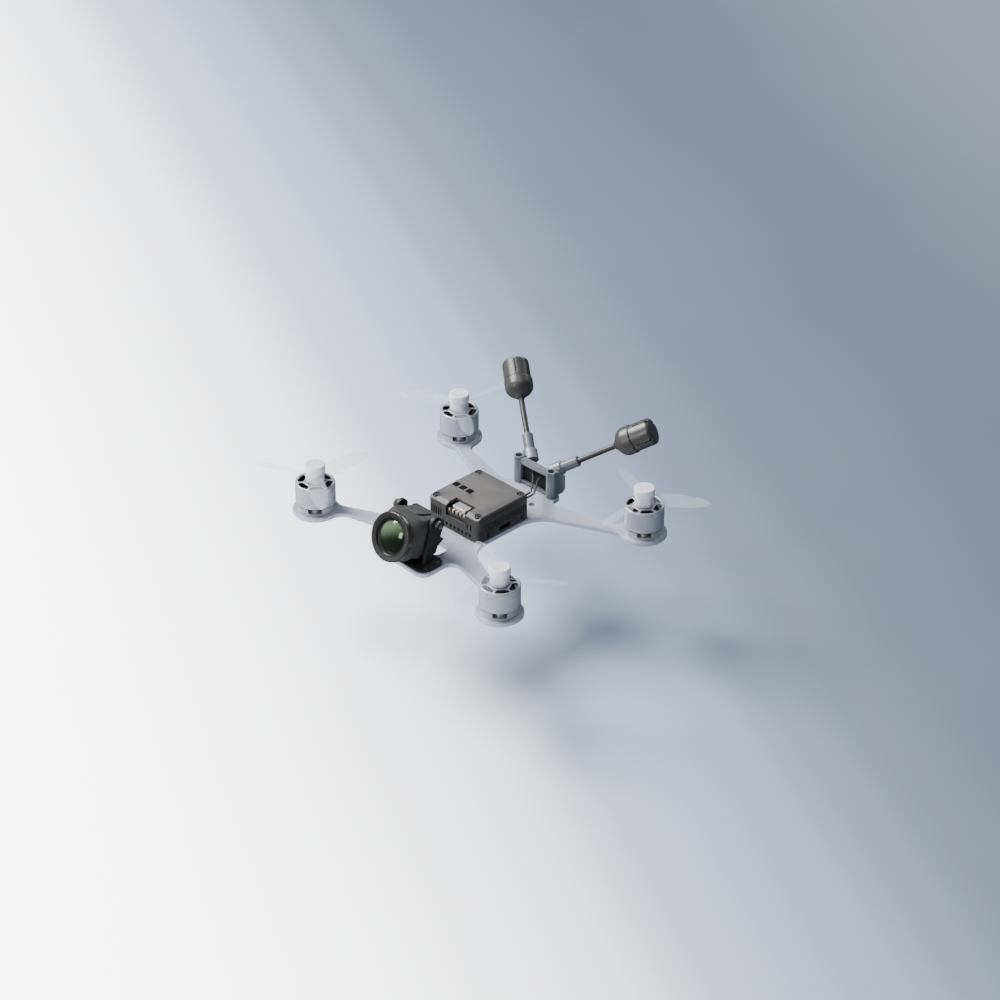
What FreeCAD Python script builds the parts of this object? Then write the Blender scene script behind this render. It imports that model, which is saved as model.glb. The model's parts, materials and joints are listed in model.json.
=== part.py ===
import FreeCAD
import Part
import Sketcher

import math
import os
import re

from FreeCAD import Placement, Rotation, Vector

# FPV racing drone, millimetres. +Z is up, the nose points along -Y and the drone's right side is -X.
# The origin is on the flat underside of the frame plate, directly below the centre of the video module.

doc = FreeCAD.newDocument("fpv_racing_drone")

# Driving dimensions, kept in the spreadsheet "dims". Heights named *_z are above the plate's underside.
SIZES = {
    # frame plate
    "plate_thick": 2.5, "plate_edge": 0.45,
    "motor_x": 62.0, "motor_y": 47.6, "pad_r": 11.2, "pad_flare": 7.0,
    "waist_x": 17.0, "arm_inner_y": 20.9, "arm_root_flare": 16.0,
    "arm_inner_end_x": 56.0, "arm_inner_end_y": 38.7, "arm_outer_end_x": 54.0, "arm_outer_end_y": 43.3,
    "nose_x": 17.8, "nose_y": 53.9, "nose_dip": 1.2, "nose_corner": 5.0, "nose_arm_y": 33.9,
    "nose_flare": 4.5,
    "tail_x": 14.0, "tail_y": 42.0, "tail_corner": 3.0, "tail_arm_y": 32.9, "tail_flare": 4.0,
    "window_x": 9.0, "window_front_y": 37.0, "window_back_y": 28.0, "window_corner": 2.5,
    "accessory_x": 9.0, "accessory_y": 26.5, "accessory_r": 1.6,
    # small machine screws
    "screw_r": 1.0, "screw_hole_r": 1.06, "screw_head_r": 1.9, "screw_head_deep": 1.1, "screw_socket_r": 0.5,
    "screw_socket_deep": 0.66, "motor_screw_pcd_r": 6.0, "motor_hole_r": 3.4,
    # motor: heights from the top of the plate
    "foot_r": 9.1, "foot_thick": 1.0, "foot_wall_r": 8.1, "foot_top": 3.3, "foot_window": 6.6,
    "foot_bore_r": 2.38, "foot_boss_r": 1.6, "foot_boss_top": 2.2, "tube_r": 3.2, "tube_top": 12.0,
    "bearing_r": 2.5, "bearing_thick": 2.3, "bearing_low": 0.9,
    "shaft_r": 1.0, "shaft_run": 0.04, "shaft_low": 0.4, "shaft_top": 21.4,
    "stator_r": 7.0, "stator_low": 4.0, "stator_high": 9.4, "stator_core_r": 4.4,
    "slot_wide": 1.5, "slot_mouth": 0.6, "tooth_tip": 0.8,
    "coil_wide": 2.1, "coil_in": 4.0, "coil_out": 6.2, "coil_proud": 0.6,
    "bell_r": 9.6, "bell_wall": 0.6, "bell_low": 3.7, "bell_high": 14.4, "bell_roof": 1.3, "bell_edge": 0.3,
    "bell_hub_r": 5.3, "bell_rim_r": 8.5, "bell_boss_r": 2.4, "bell_boss_low": 12.4, "spoke_wide": 1.5,
    "spoke_turn": -6.0,
    "magnet_thick": 1.3, "magnet_low": 4.2, "magnet_high": 10.0, "magnet_gap": 0.5,
    # propeller and its cap
    "prop_r": 31.75, "prop_hub_r": 4.5, "prop_hub_tall": 5.2, "blade_up": 3.3, "blade_turn": 35.0,
    "cap_r": 5.0, "cap_tall": 4.0, "cap_edge": 0.35,
    # video module
    "module_half": 16.75, "module_low_z": 3.0, "cover_low_z": 14.5, "module_top_z": 16.0,
    "module_wall": 1.5, "module_floor": 0.75, "module_corner": 2.0,
    "cover_inset": 0.3, "cover_nose": 2.2, "cover_nose_drop": 1.3, "cover_edge": 0.5,
    "boss_at": 13.95, "boss_r": 1.9, "boss_hole_r": 0.75, "boss_hole_deep": 6.0, "cover_screw_r": 0.75,
    "cover_screw_long": 5.5, "cover_socket_r": 0.45, "cover_socket_deep": 0.5,
    "cover_head_r": 1.2, "cover_head_tall": 0.8, "cover_recess_r": 1.75, "cover_recess_deep": 0.95,
    "side_vent_wide": 0.65, "side_vent_low_z": 7.5, "side_vent_tall": 4.0, "side_vent_pitch": 1.3,
    "side_vent_start_y": -11.8, "vent_deep": 3.0,
    "front_vent_x": -14.8, "front_vent_pitch": 1.5, "front_vent_wide": 0.8,
    "bay_vent_x": 9.0, "bay_vent_pitch": 2.2, "bay_vent_low_z": 8.0, "bay_vent_tall": 3.0,
    "low_vent_x": -5.0, "low_vent_pitch": 2.6, "low_vent_wide": 1.2, "low_vent_z": 4.2, "low_vent_tall": 1.6,
    "corner_vent_y": -11.0, "corner_vent_pitch": 22.4, "corner_vent_wide": 1.4, "corner_vent_z": 4.0,
    "corner_vent_tall": 2.0,
    "bay_left_x": -5.0, "bay_right_x": 8.0, "bay_back_y": -9.5, "bay_low_z": 9.8, "bay_gap": 0.5,
    "header_front_y": -16.05, "header_back_y": -9.8, "header_low_z": 9.9,
    "shield_left_x": -2.3, "shield_right_x": 6.0, "shield_front_y": -14.8, "shield_back_y": -10.3,
    "header_top_z": 12.3, "shield_top_z": 15.3,
    "pin_first_x": -3.9, "pin_pitch": 2.4, "pin_wide": 1.25, "pin_back_y": -14.95, "pin_top_z": 13.7,
    "tile_size": 3.5, "tile_pitch": 4.45, "tile_first_x": -13.6, "tile_y": -1.2, "tile_deep": 0.7,
    "tile_gap": 0.05, "tile_sunk": 0.12,
    "port_y": 0.6, "port_wide": 7.8, "port_low_z": 3.9, "port_tall": 2.9, "port_wall": 0.35, "port_deep": 5.5,
    "tongue_wide": 5.2, "tongue_thick": 0.5, "tongue_back": 1.0,
    "button_y": 7.6, "button_z": 5.4, "button_r": 0.8, "button_hole_r": 0.87, "button_proud": 0.3,
    "button_flange_r": 1.3, "button_flange_thick": 0.35, "button_play": 0.05,
    "board_half": 14.9, "board_notch_r": 2.3, "board_thick": 1.0, "video_board_z": 8.6, "flight_board_z": 4.9,
    "flight_board_half": 13.2, "spreader_half": 10.5, "spreader_front_y": -8.2, "spreader_back_y": 11.5,
    "spreader_base": 1.2, "spreader_top_z": 14.3, "fin_pitch": 2.8, "fin_wide": 1.2,
    "foot_pad_at": 12.0, "foot_pad_r": 2.6,
    # camera, in its own frame: x across, y back along the lens axis, z up, origin at the tilt pivot
    "pivot_y": -39.1, "pivot_z": 21.9, "camera_tilt": 22.0, "tilt_down": 8.0,
    "lens_drop": 10.6, "lens_front": 15.6, "ring_r": 11.9, "ring_inner_r": 9.6, "ring_deep": 3.0,
    "ring_lip": 0.5, "ring_lip_back": 14.95, "ring_crest_r": 11.3, "ring_slope": 0.2, "ring_edge": 0.9,
    "nose_tube_r": 11.3, "nose_tube_back": 9.5, "shoulder_half": 11.6, "shoulder_back": 3.9,
    "shoulder_bottom": 18.6, "shoulder_round": 4.0, "shoulder_r": 14.9, "shoulder_full": 8.5,
    "camera_half": 10.3, "camera_top": 1.9, "camera_bottom": 17.4, "camera_face": 9.0, "camera_split": 5.5,
    "camera_back": 7.4, "camera_wall": 1.4, "camera_round": 2.2, "camera_back_bevel": 2.4,
    "plateau_half": 5.5, "plateau_front": 6.5, "plateau_back": 3.5, "plateau_top": 2.6,
    "plateau_slot_half": 1.6, "plateau_slot_front": 4.4, "plateau_slot_back": 3.5, "ear_thick": 1.8,
    "boot_half": 3.2, "boot_low": 13.0, "boot_high": 10.0, "boot_back": 9.0,
    "barrel_r": 9.6, "barrel_bore_r": 8.9, "barrel_front": 14.9, "barrel_back": 5.0, "barrel_wall": 1.2,
    "barrel_seat": 12.7, "barrel_iris_r": 2.5, "barrel_gap": 0.03,
    "glass_r": 8.9, "glass_dome_r": 15.0, "glass_crown": 15.8,
    "sensor_half": 7.5, "sensor_tall": 5.2, "sensor_at": 2.6, "sensor_thick": 1.0, "chip_half": 4.0,
    "chip_thick": 1.2,
    "knob_r": 2.3, "knob_inner_x": 12.35, "knob_outer_x": 15.0, "knob_shank_x": 8.2, "knob_socket_r": 0.9,
    "knob_socket_deep": 0.6,
    # camera mount
    "cheek_inner_x": 10.6, "cheek_outer_x": 12.3, "cheek_ring_r": 3.5, "cheek_sink": 0.2,
    "cheek_foot_y": -41.4, "cheek_heel_y": -42.8, "cheek_heel_z": 5.5, "cheek_back": 3.2,
    "hook_root_y": -39.2, "hook_root_z": 9.2, "hook_low_y": -37.6, "hook_low_z": 10.4,
    "hook_tip_y": -34.6, "hook_tip_z": 12.2, "hook_top_y": -36.9, "hook_top_z": 14.2,
    "base_half": 17.2, "base_front_y": -52.6, "base_back_y": -38.0, "base_thick": 0.8, "base_corner": 4.6,
    "base_screw_x": 14.7, "base_screw_front_y": -49.0, "base_screw_back_y": -41.4,
    # antenna bracket
    "post_x": 10.78, "post_y": 37.8, "post_r": 2.5, "post_top_z": 16.76, "post_bore_r": 1.7,
    "post_bore_deep": 6.0, "post_thread_z": 8.0, "beam_thick": 2.2, "beam_low_z": 13.3, "beam_sunk": 0.4,
    "bar_low_z": 3.1, "bar_top_z": 4.5,
    "block_half": 2.2, "block_back_y": 45.2, "block_low_z": 3.3, "block_toe": 1.5, "block_front_top_z": 16.0,
    "block_slope_y": 41.0, "block_back_top_z": 12.0,
    "collar_r": 3.5, "collar_start": -15.0, "collar_end": -8.6, "collar_edge": 0.6,
    "guard_front_y": 38.0, "guard_back_y": 39.3, "guard_gap": 0.35,
    # antennas: distances along each antenna's axis, from the mouth of its sleeve
    "mouth_x": 17.23, "mouth_y": 49.86, "mouth_z": 20.34, "sleeve_r": 2.6, "sleeve_edge": 0.3,
    "sleeve_start": -14.6, "rod_r": 1.45, "rod_start": -12.5, "rod_end": 21.2,
    "cup_start": 20.2, "cup_neck_r": 2.0, "cup_throat_r": 2.5, "cup_throat": 21.0, "cup_r": 7.0,
    "cup_flank_r": 5.4, "cup_flank": 23.0, "cup_shoulder_r": 6.6, "cup_shoulder": 24.6, "cup_full": 26.0,
    "cup_end": 30.4, "cap_head_r": 6.6, "head_end": 40.8, "cap_bevel": 1.3,
    "groove_wide": 0.7, "groove_deep": 0.6, "groove_start": 32.0, "notch_wide": 1.5, "notch_long": 1.5,
    "notch_deep": 1.2,
    # coax cables
    "coax_r": 0.55, "coax_bore_r": 0.85, "coax_exit_z": 12.9, "coax_exit_run": 5.0, "coax_entry_run": 4.0,
    "coax_middle_y": 29.25, "coax_middle_z": 11.2, "coax_window_y": 35.8, "coax_window_z": 9.4,
}

sheet = doc.addObject("Spreadsheet::Sheet", "dims")
for row, (alias, number) in enumerate(SIZES.items(), start=1):
    sheet.set("A%d" % row, alias)
    sheet.set("B%d" % row, str(number))
    sheet.setAlias("B%d" % row, alias)
doc.recompute()

ALIAS = re.compile(r"\b(" + "|".join(SIZES) + r")\b")
subparts = []
cuts = []


def size(alias):
    """The number that a cell of the sheet holds."""
    return float(getattr(sheet, alias))


def formula(text):
    """An expression over the sheet, from plain words such as "bell_r - bell_wall"."""
    return ALIAS.sub(r"dims.\1", str(text))


def bind(thing, **sizes):
    """Bind properties to formulas; x, y and z stand for the placement's base."""
    for name, text in sizes.items():
        path = "Placement.Base." + name if name in ("x", "y", "z") else name
        thing.setExpression(path, formula(text))
    return thing


def keep(thing, label):
    """Name a finished sub-part; the label is the node's name."""
    thing.Label = label
    subparts.append(thing)
    return thing


# Part primitives and booleans

def box(low, high):
    """A block between two corners, each three formulas."""
    block = doc.addObject("Part::Box", "block")
    span = ["(%s) - (%s)" % (b, a) for a, b in zip(low, high)]
    bind(block, Length=span[0], Width=span[1], Height=span[2])
    return bind(block, x=low[0], y=low[1], z=low[2])


def rod(radius, base, length, axis="Z"):
    """A cylinder from base along an axis."""
    turns = {"X": Rotation(Vector(0, 1, 0), 90), "Y": Rotation(Vector(1, 0, 0), -90), "Z": Rotation()}
    solid = doc.addObject("Part::Cylinder", "rod")
    solid.Placement = Placement(Vector(), turns[axis])
    bind(solid, Radius=radius, Height=length)
    return bind(solid, x=base[0], y=base[1], z=base[2])


def fuse(parts):
    joined = doc.addObject("Part::MultiFuse", "fused")
    joined.Shapes = parts
    joined.Refine = False
    return joined


def cut(base, tools):
    """Base minus one tool or several."""
    result = doc.addObject("Part::Cut", "cut")
    result.Base = base
    result.Tool = tools[0] if len(tools) == 1 else fuse(tools)
    result.Refine = False
    cuts.append((result, base))
    return result


def group(parts):
    """Separate solids in one node."""
    bundle = doc.addObject("Part::Compound", "bundle")
    bundle.Links = parts
    return bundle


def copy_at(source, x="0", y="0", z="0", turn=None):
    """A linked copy of a piece, moved and perhaps turned about the Z axis."""
    link = doc.addObject("App::Link", "copy")
    link.LinkedObject = source
    if turn is not None:
        link.LinkPlacement = Placement(Vector(), Rotation(Vector(0, 0, 1), turn))
    for name, text in (("x", x), ("y", y), ("z", z)):
        link.setExpression("LinkPlacement.Base." + name, formula(text))
    return link


# PartDesign bodies

def attach(body, plane, offset="0"):
    """A sketch on one of the body's own origin planes, moved out along the plane's normal."""
    sketch = body.newObject("Sketcher::SketchObject", "sketch")
    origin_plane = next(item for item in body.Origin.OriginFeatures if item.Role == plane)
    sketch.AttachmentSupport = [(origin_plane, "")]
    sketch.MapMode = "FlatFace"
    sketch.setExpression("AttachmentOffset.Base.z", formula(offset))
    return sketch


def pin(sketch, kind, place, text):
    """Tie one point of the sketch to the origin with a formula."""
    index = sketch.addConstraint(Sketcher.Constraint(kind, -1, 1, place[0], place[1], 1.0))
    sketch.setExpression("Constraints[%d]" % index, formula(text))


def draw_polygon(sketch, corners):
    """A closed outline whose corners are pairs of formulas."""
    first = sketch.GeometryCount
    count = len(corners)
    spots = [Vector(math.cos(math.tau * i / count), math.sin(math.tau * i / count), 0) for i in range(count)]
    for i in range(count):
        sketch.addGeometry(Part.LineSegment(spots[i], spots[(i + 1) % count]))
    for i in range(count):
        sketch.addConstraint(Sketcher.Constraint("Coincident", first + i, 2, first + (i + 1) % count, 1))
    for i, (across, along) in enumerate(corners):
        pin(sketch, "DistanceX", (first + i, 1), across)
        pin(sketch, "DistanceY", (first + i, 1), along)


def draw_circles(sketch, circles):
    """Circles given as (across, along, radius) formulas."""
    for across, along, radius in circles:
        index = sketch.addGeometry(Part.Circle(Vector(1, 1, 0), Vector(0, 0, 1), 1.0))
        pin(sketch, "DistanceX", (index, 3), across)
        pin(sketch, "DistanceY", (index, 3), along)
        limit = sketch.addConstraint(Sketcher.Constraint("Radius", index, 1.0))
        sketch.setExpression("Constraints[%d]" % limit, formula(radius))


def rectangle(low, high):
    return [(low[0], low[1]), (high[0], low[1]), (high[0], high[1]), (low[0], high[1])]


def pad(body, sketch, length):
    feature = body.newObject("PartDesign::Pad", "pad")
    feature.Profile = sketch
    feature.setExpression("Length", formula(length))
    return feature


def pocket(body, sketch, length, reverse=False):
    """Remove the sketch's area over a length; the volume must go down."""
    doc.recompute()
    before = body.Shape.Volume
    feature = body.newObject("PartDesign::Pocket", "pocket")
    feature.Profile = sketch
    feature.Reversed = reverse
    feature.setExpression("Length", formula(length))
    doc.recompute()
    if body.Shape.Volume > before - 1e-6:
        raise RuntimeError("a pocket cut nothing in " + body.Label)
    return feature


def turned(corners):
    """A body turned about Z from an outline of (radius, height) formulas."""
    body = doc.addObject("PartDesign::Body", "turned")
    sketch = attach(body, "XZ_Plane")
    draw_polygon(sketch, corners)
    feature = body.newObject("PartDesign::Revolution", "turn")
    feature.Profile = sketch
    feature.ReferenceAxis = (sketch, ["V_Axis"])
    feature.Angle = 360
    return body


def round_edges(body, radius, chosen):
    """Fillet the edges of the body's tip that the test picks."""
    doc.recompute()
    tip = body.Tip
    edges = ["Edge%d" % i for i, edge in enumerate(tip.Shape.Edges, start=1) if chosen(edge)]
    feature = body.newObject("PartDesign::Fillet", "round")
    feature.Base = (tip, edges)
    feature.setExpression("Radius", formula(radius))
    return feature


def bevel_edges(body, width, chosen):
    """Chamfer the edges of the body's tip that the test picks."""
    doc.recompute()
    tip = body.Tip
    edges = ["Edge%d" % i for i, edge in enumerate(tip.Shape.Edges, start=1) if chosen(edge)]
    feature = body.newObject("PartDesign::Chamfer", "bevel")
    feature.Base = (tip, edges)
    feature.setExpression("Size", formula(width))
    return feature


def upright_near(spots, reach=0.2):
    """A test for vertical edges that stand at one of the (x, y) spots."""
    def test(edge):
        low, high = edge.BoundBox.ZMin, edge.BoundBox.ZMax
        middle = edge.BoundBox.Center
        thin = edge.BoundBox.XLength < 1e-4 and edge.BoundBox.YLength < 1e-4
        near = any(math.hypot(middle.x - x, middle.y - y) < reach for x, y in spots)
        return thin and high - low > 0.1 and near
    return test


def at_height(height):
    """A test for edges that lie flat at one height."""
    return lambda edge: edge.BoundBox.ZLength < 1e-4 and abs(edge.BoundBox.ZMin - height) < 1e-4


TEETH = 9
FINS = 8
PINS = 5
TILES = 3
SIDE_VENTS = 21
FRONT_VENTS = 5
LOW_VENTS = 7
# an arc of a lead uses this share of the shorter of the two runs that it joins
ARC_SHARE = 0.45
# where each antenna's lead leaves the module and where it passes the bracket's window, across
LEAD_X = {1: (15.0, 3.6), -1: (12.8, 0.6)}
# propeller blade: share of the tip radius, chord, pitch in degrees, thickness
BLADE = ((0.10, 5.0, 30.0, 1.6), (0.25, 7.0, 26.0, 1.3), (0.5, 8.4, 18.0, 1.0), (0.8, 6.6, 13.0, 0.8),
         (0.985, 3.2, 10.0, 0.6))
SIDES = (("left", 1), ("right", -1))
CORNERS = [("front_left", 1, -1), ("front_right", -1, -1), ("rear_left", 1, 1), ("rear_right", -1, 1)]


def motor_centre(side, end):
    return "%d * motor_x" % side, "%d * motor_y" % end


# Frame plate

def frame_plate():
    """Flat one-piece frame: waist, four arms, nose and tail, with a round pad under each motor."""
    half = [
        ("0", "nose_dip - nose_y"), ("nose_x", "-nose_y"), ("nose_x", "-nose_arm_y"),
        ("arm_outer_end_x", "-arm_outer_end_y"), ("motor_x", "-motor_y"),
        ("arm_inner_end_x", "-arm_inner_end_y"),
        ("waist_x", "-arm_inner_y"), ("waist_x", "arm_inner_y"),
        ("arm_inner_end_x", "arm_inner_end_y"), ("motor_x", "motor_y"),
        ("arm_outer_end_x", "arm_outer_end_y"),
        ("tail_x", "tail_arm_y"), ("tail_x", "tail_y"),
    ]
    other = [("-(%s)" % across, along) for across, along in reversed(half[1:])]
    body = doc.addObject("PartDesign::Body", "plate")
    outline = attach(body, "XY_Plane")
    draw_polygon(outline, half + other)
    pad(body, outline, "plate_thick")
    pads = attach(body, "XY_Plane")
    draw_circles(pads, [motor_centre(side, end) + ("pad_r",) for _, side, end in CORNERS])
    pad(body, pads, "plate_thick")

    def mirrored(x_name, *y_values):
        return [(side * size(x_name), y) for _, side in SIDES for y in y_values]

    inner = size("arm_inner_y")
    round_edges(body, "arm_root_flare", upright_near(mirrored("waist_x", inner, -inner)))
    round_edges(body, "nose_corner", upright_near(mirrored("nose_x", -size("nose_y"))))
    round_edges(body, "nose_flare", upright_near(mirrored("nose_x", -size("nose_arm_y"))))
    round_edges(body, "tail_flare", upright_near(mirrored("tail_x", size("tail_arm_y"))))
    round_edges(body, "tail_corner", upright_near(mirrored("tail_x", size("tail_y"))))

    def arm_meets_pad(edge):
        middle = edge.BoundBox.Center
        away = math.hypot(abs(middle.x) - size("motor_x"), abs(middle.y) - size("motor_y"))
        upright = edge.BoundBox.XLength < 1e-4 and edge.BoundBox.ZLength > 0.1
        return upright and abs(away - size("pad_r")) < 0.05

    round_edges(body, "pad_flare", arm_meets_pad)
    window = attach(body, "XY_Plane", "plate_thick")
    draw_polygon(window, rectangle(("-window_x", "-window_front_y"), ("window_x", "-window_back_y")))
    pocket(body, window, "plate_thick")
    round_edges(body, "window_corner",
                upright_near(mirrored("window_x", -size("window_front_y"), -size("window_back_y"))))
    bevel_edges(body, "plate_edge", at_height(size("plate_thick")))
    bevel_edges(body, "plate_edge", at_height(0.0))

    holes = attach(body, "XY_Plane", "plate_thick")
    circles = [motor_centre(side, end) + ("motor_hole_r",) for _, side, end in CORNERS]
    circles += [spot + ("screw_hole_r",) for spot in motor_screw_spots() + frame_screw_spots()]
    circles += [("%d * accessory_x" % side, "accessory_y", "accessory_r") for _, side in SIDES]
    draw_circles(holes, circles)
    pocket(body, holes, "plate_thick")
    sinks = []
    for spot in motor_screw_spots() + frame_screw_spots():
        sink = doc.addObject("Part::Cone", "countersink")
        bind(sink, Radius1="screw_head_r", Radius2="screw_hole_r", Height="screw_head_deep")
        bind(sink, x=spot[0], y=spot[1])
        sinks.append(sink)
    keep(cut(body, sinks), "frame_plate")


def motor_screw_spots():
    """Four screws under each motor, on a circle, at 45 degrees to the axes."""
    reach = "motor_screw_pcd_r * %.6f" % math.sqrt(0.5)
    spots = []
    for _, side, end in CORNERS:
        x, y = motor_centre(side, end)
        for across, along in ((1, 1), (1, -1), (-1, 1), (-1, -1)):
            spots.append(("%s + %d * %s" % (x, across, reach), "%s + %d * %s" % (y, along, reach)))
    return spots


def frame_screw_spots():
    """Screws under the camera mount and under the bracket's posts."""
    spots = []
    for _, side in SIDES:
        spots.append(("%d * base_screw_x" % side, "base_screw_front_y"))
        spots.append(("%d * base_screw_x" % side, "base_screw_back_y"))
        spots.append(("%d * post_x" % side, "post_y"))
    return spots


def countersunk_screws(label, spots, top):
    """Countersunk screws from below, heads flush with the underside, up to the given height."""
    screw = turned([("screw_socket_r", "0"), ("screw_head_r", "0"), ("screw_r", "screw_head_deep"),
                    ("screw_r", top), ("0", top), ("0", "screw_socket_deep"),
                    ("screw_socket_r", "screw_socket_deep")])
    keep(group([copy_at(screw, x, y) for x, y in spots]), label)


# Motors

def motor_base(name, side, end):
    """Round foot with four windows in its low wall, a boss for each screw and a tube for the bearings."""
    cup = turned([("foot_bore_r", "0"), ("foot_r", "0"), ("foot_r", "foot_top"), ("foot_wall_r", "foot_top"),
                  ("foot_wall_r", "foot_thick"), ("tube_r", "foot_thick"), ("tube_r", "tube_top"),
                  ("bearing_r", "tube_top"), ("bearing_r", "bearing_low"), ("foot_bore_r", "bearing_low")])
    window = box(("-2 * foot_r", "-foot_window / 2", "foot_thick"),
                 ("2 * foot_r", "foot_window / 2", "2 * foot_top"))
    core = rod("foot_wall_r", ("0", "0", "0"), "3 * foot_top")
    windows = [copy_at(tool_about_axis(window), turn=turn) for turn in (45.0, 135.0)]
    reach = "motor_screw_pcd_r * %.6f" % math.sqrt(0.5)
    spots = [("%d * %s" % (a, reach), "%d * %s" % (b, reach)) for a in (1, -1) for b in (1, -1)]
    bosses = [rod("foot_boss_r", (x, y, "foot_thick / 2"), "foot_boss_top - foot_thick / 2")
              for x, y in spots]
    holes = [rod("screw_r", (x, y, "-1"), "foot_boss_top + 2") for x, y in spots]
    base = cut(fuse([cut(cup, [cut(fuse(windows), [core])])] + bosses), holes)
    x, y = motor_centre(side, end)
    keep(bind(base, x=x, y=y, z="plate_thick"), "motor_base_" + name)


def one_per_motor(piece):
    """Copies of a piece on top of the plate at the four motors."""
    return group([copy_at(piece, *motor_centre(side, end), "plate_thick") for _, side, end in CORNERS])


def stators():
    """Four laminated cores with nine teeth each."""
    core = turned([("tube_r", "stator_low"), ("stator_r", "stator_low"), ("stator_r", "stator_high"),
                   ("tube_r", "stator_high")])
    slot = box(("stator_core_r", "-slot_wide / 2", "stator_low - 1"),
               ("stator_r - tooth_tip", "slot_wide / 2", "stator_high + 1"))
    mouth = box(("stator_r - 2 * tooth_tip", "-slot_mouth / 2", "stator_low - 1"),
                ("stator_r + 1", "slot_mouth / 2", "stator_high + 1"))
    slots = [copy_at(tool_about_axis(tool), turn=360.0 * k / TEETH)
             for k in range(TEETH) for tool in (slot, mouth)]
    keep(one_per_motor(cut(core, slots)), "stators")


def tool_about_axis(tool):
    """The tool in a compound of its own, so that a linked copy turns about the Z axis."""
    return group([tool])


def windings():
    """A coil above and below each stator tooth, in one node for all four motors."""
    coils = []
    for low, high in (("stator_low - coil_proud", "stator_low"),
                      ("stator_high", "stator_high + coil_proud")):
        coils.append(box(("coil_in", "-coil_wide / 2", low), ("coil_out", "coil_wide / 2", high)))
    tooth = group(coils)
    ring = group([copy_at(tooth, turn=360.0 * (k + 0.5) / TEETH) for k in range(TEETH)])
    keep(one_per_motor(ring), "windings")


def motor_bearings():
    """Two ball bearings in each motor's tube; the shaft runs in them."""
    bearings = []
    for low in ("bearing_low", "tube_top - bearing_thick"):
        high = low + " + bearing_thick"
        bore = "shaft_r + shaft_run"
        bearings.append(turned([(bore, low), ("bearing_r", low), ("bearing_r", high), (bore, high)]))
    keep(one_per_motor(group(bearings)), "motor_bearings")


def bell(name, side, end):
    """Motor can: thin wall, roof with six openings between spokes and a hub that grips the shaft."""
    inner = "bell_r - bell_wall"
    roof = "bell_high - bell_roof"
    can = turned([("shaft_r", "bell_boss_low"), ("bell_boss_r", "bell_boss_low"), ("bell_boss_r", roof),
                  (inner, roof), (inner, "bell_low"), ("bell_r", "bell_low"),
                  ("bell_r", "bell_high - bell_edge"), ("bell_r - bell_edge", "bell_high"),
                  ("shaft_r", "bell_high")])
    ring = turned([("bell_hub_r", roof + " - 0.5"), ("bell_rim_r", roof + " - 0.5"),
                   ("bell_rim_r", "bell_high + 1"), ("bell_hub_r", "bell_high + 1")])
    spoke = box(("-bell_r", "-spoke_wide / 2", "bell_low"), ("bell_r", "spoke_wide / 2", "bell_high + 2"))
    spokes = [copy_at(tool_about_axis(spoke), turn=60.0 * k + size("spoke_turn")) for k in range(3)]
    openings = cut(ring, spokes)
    x, y = motor_centre(side, end)
    keep(bind(cut(can, [openings]), x=x, y=y, z="plate_thick"), "bell_" + name)


def magnet_ring(name, side, end):
    """Twelve magnets glued inside the can."""
    outer = "bell_r - bell_wall"
    tube = turned([(outer + " - magnet_thick", "magnet_low"), (outer, "magnet_low"), (outer, "magnet_high"),
                   (outer + " - magnet_thick", "magnet_high")])
    gap = box(("-bell_r", "-magnet_gap / 2", "magnet_low - 1"),
              ("bell_r", "magnet_gap / 2", "magnet_high + 1"))
    gaps = [copy_at(tool_about_axis(gap), turn=30.0 * k) for k in range(6)]
    x, y = motor_centre(side, end)
    keep(bind(cut(tube, gaps), x=x, y=y, z="plate_thick"), "magnet_ring_" + name)


def shaft(name, side, end):
    x, y = motor_centre(side, end)
    keep(rod("shaft_r", (x, y, "plate_thick + shaft_low"), "shaft_top - shaft_low"), "shaft_" + name)


def blade_section(radius, chord, pitch, thickness):
    """A closed aerofoil-like outline across the blade at one radius."""
    half = chord / 2
    swing = math.radians(pitch)
    points = []
    thickest = -0.2 * half
    for along, up in ((-half, 0.0), (thickest, thickness * 0.6), (half, 0.0), (thickest, -thickness * 0.4)):
        points.append(Vector(radius, along * math.cos(swing) - up * math.sin(swing),
                             along * math.sin(swing) + up * math.cos(swing)))
    upper = Part.Arc(points[0], points[1], points[2]).toShape()
    lower = Part.Arc(points[2], points[3], points[0]).toShape()
    return Part.Wire([upper, lower])


def propeller(name, side, end):
    """Three twisted blades on a round hub; neighbours turn opposite ways."""
    hand = side * end
    tip = size("prop_r")
    sections = [blade_section(share * tip, chord, hand * pitch, thick)
                for share, chord, pitch, thick in BLADE]
    blade = Part.makeLoft(sections, True, False)
    blade.translate(Vector(0, 0, size("blade_up")))
    solid = Part.makeCylinder(size("prop_hub_r"), size("prop_hub_tall"))
    for k in range(3):
        turned_blade = blade.copy()
        turned_blade.rotate(Vector(), Vector(0, 0, 1), 120.0 * k + side * size("blade_turn"))
        solid = solid.fuse(turned_blade)
    disc = Part.makeCylinder(tip, 4 * size("prop_hub_tall"), Vector(0, 0, -size("prop_hub_tall")))
    bore = Part.makeCylinder(size("shaft_r"), size("prop_hub_tall"))
    feature = doc.addObject("Part::Feature", "propeller")
    feature.Shape = solid.common(disc).cut(bore)
    feature.Placement = Placement(Vector(side * size("motor_x"), end * size("motor_y"),
                                         size("plate_thick") + size("bell_high")), Rotation())
    keep(feature, "propeller_" + name)


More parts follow.
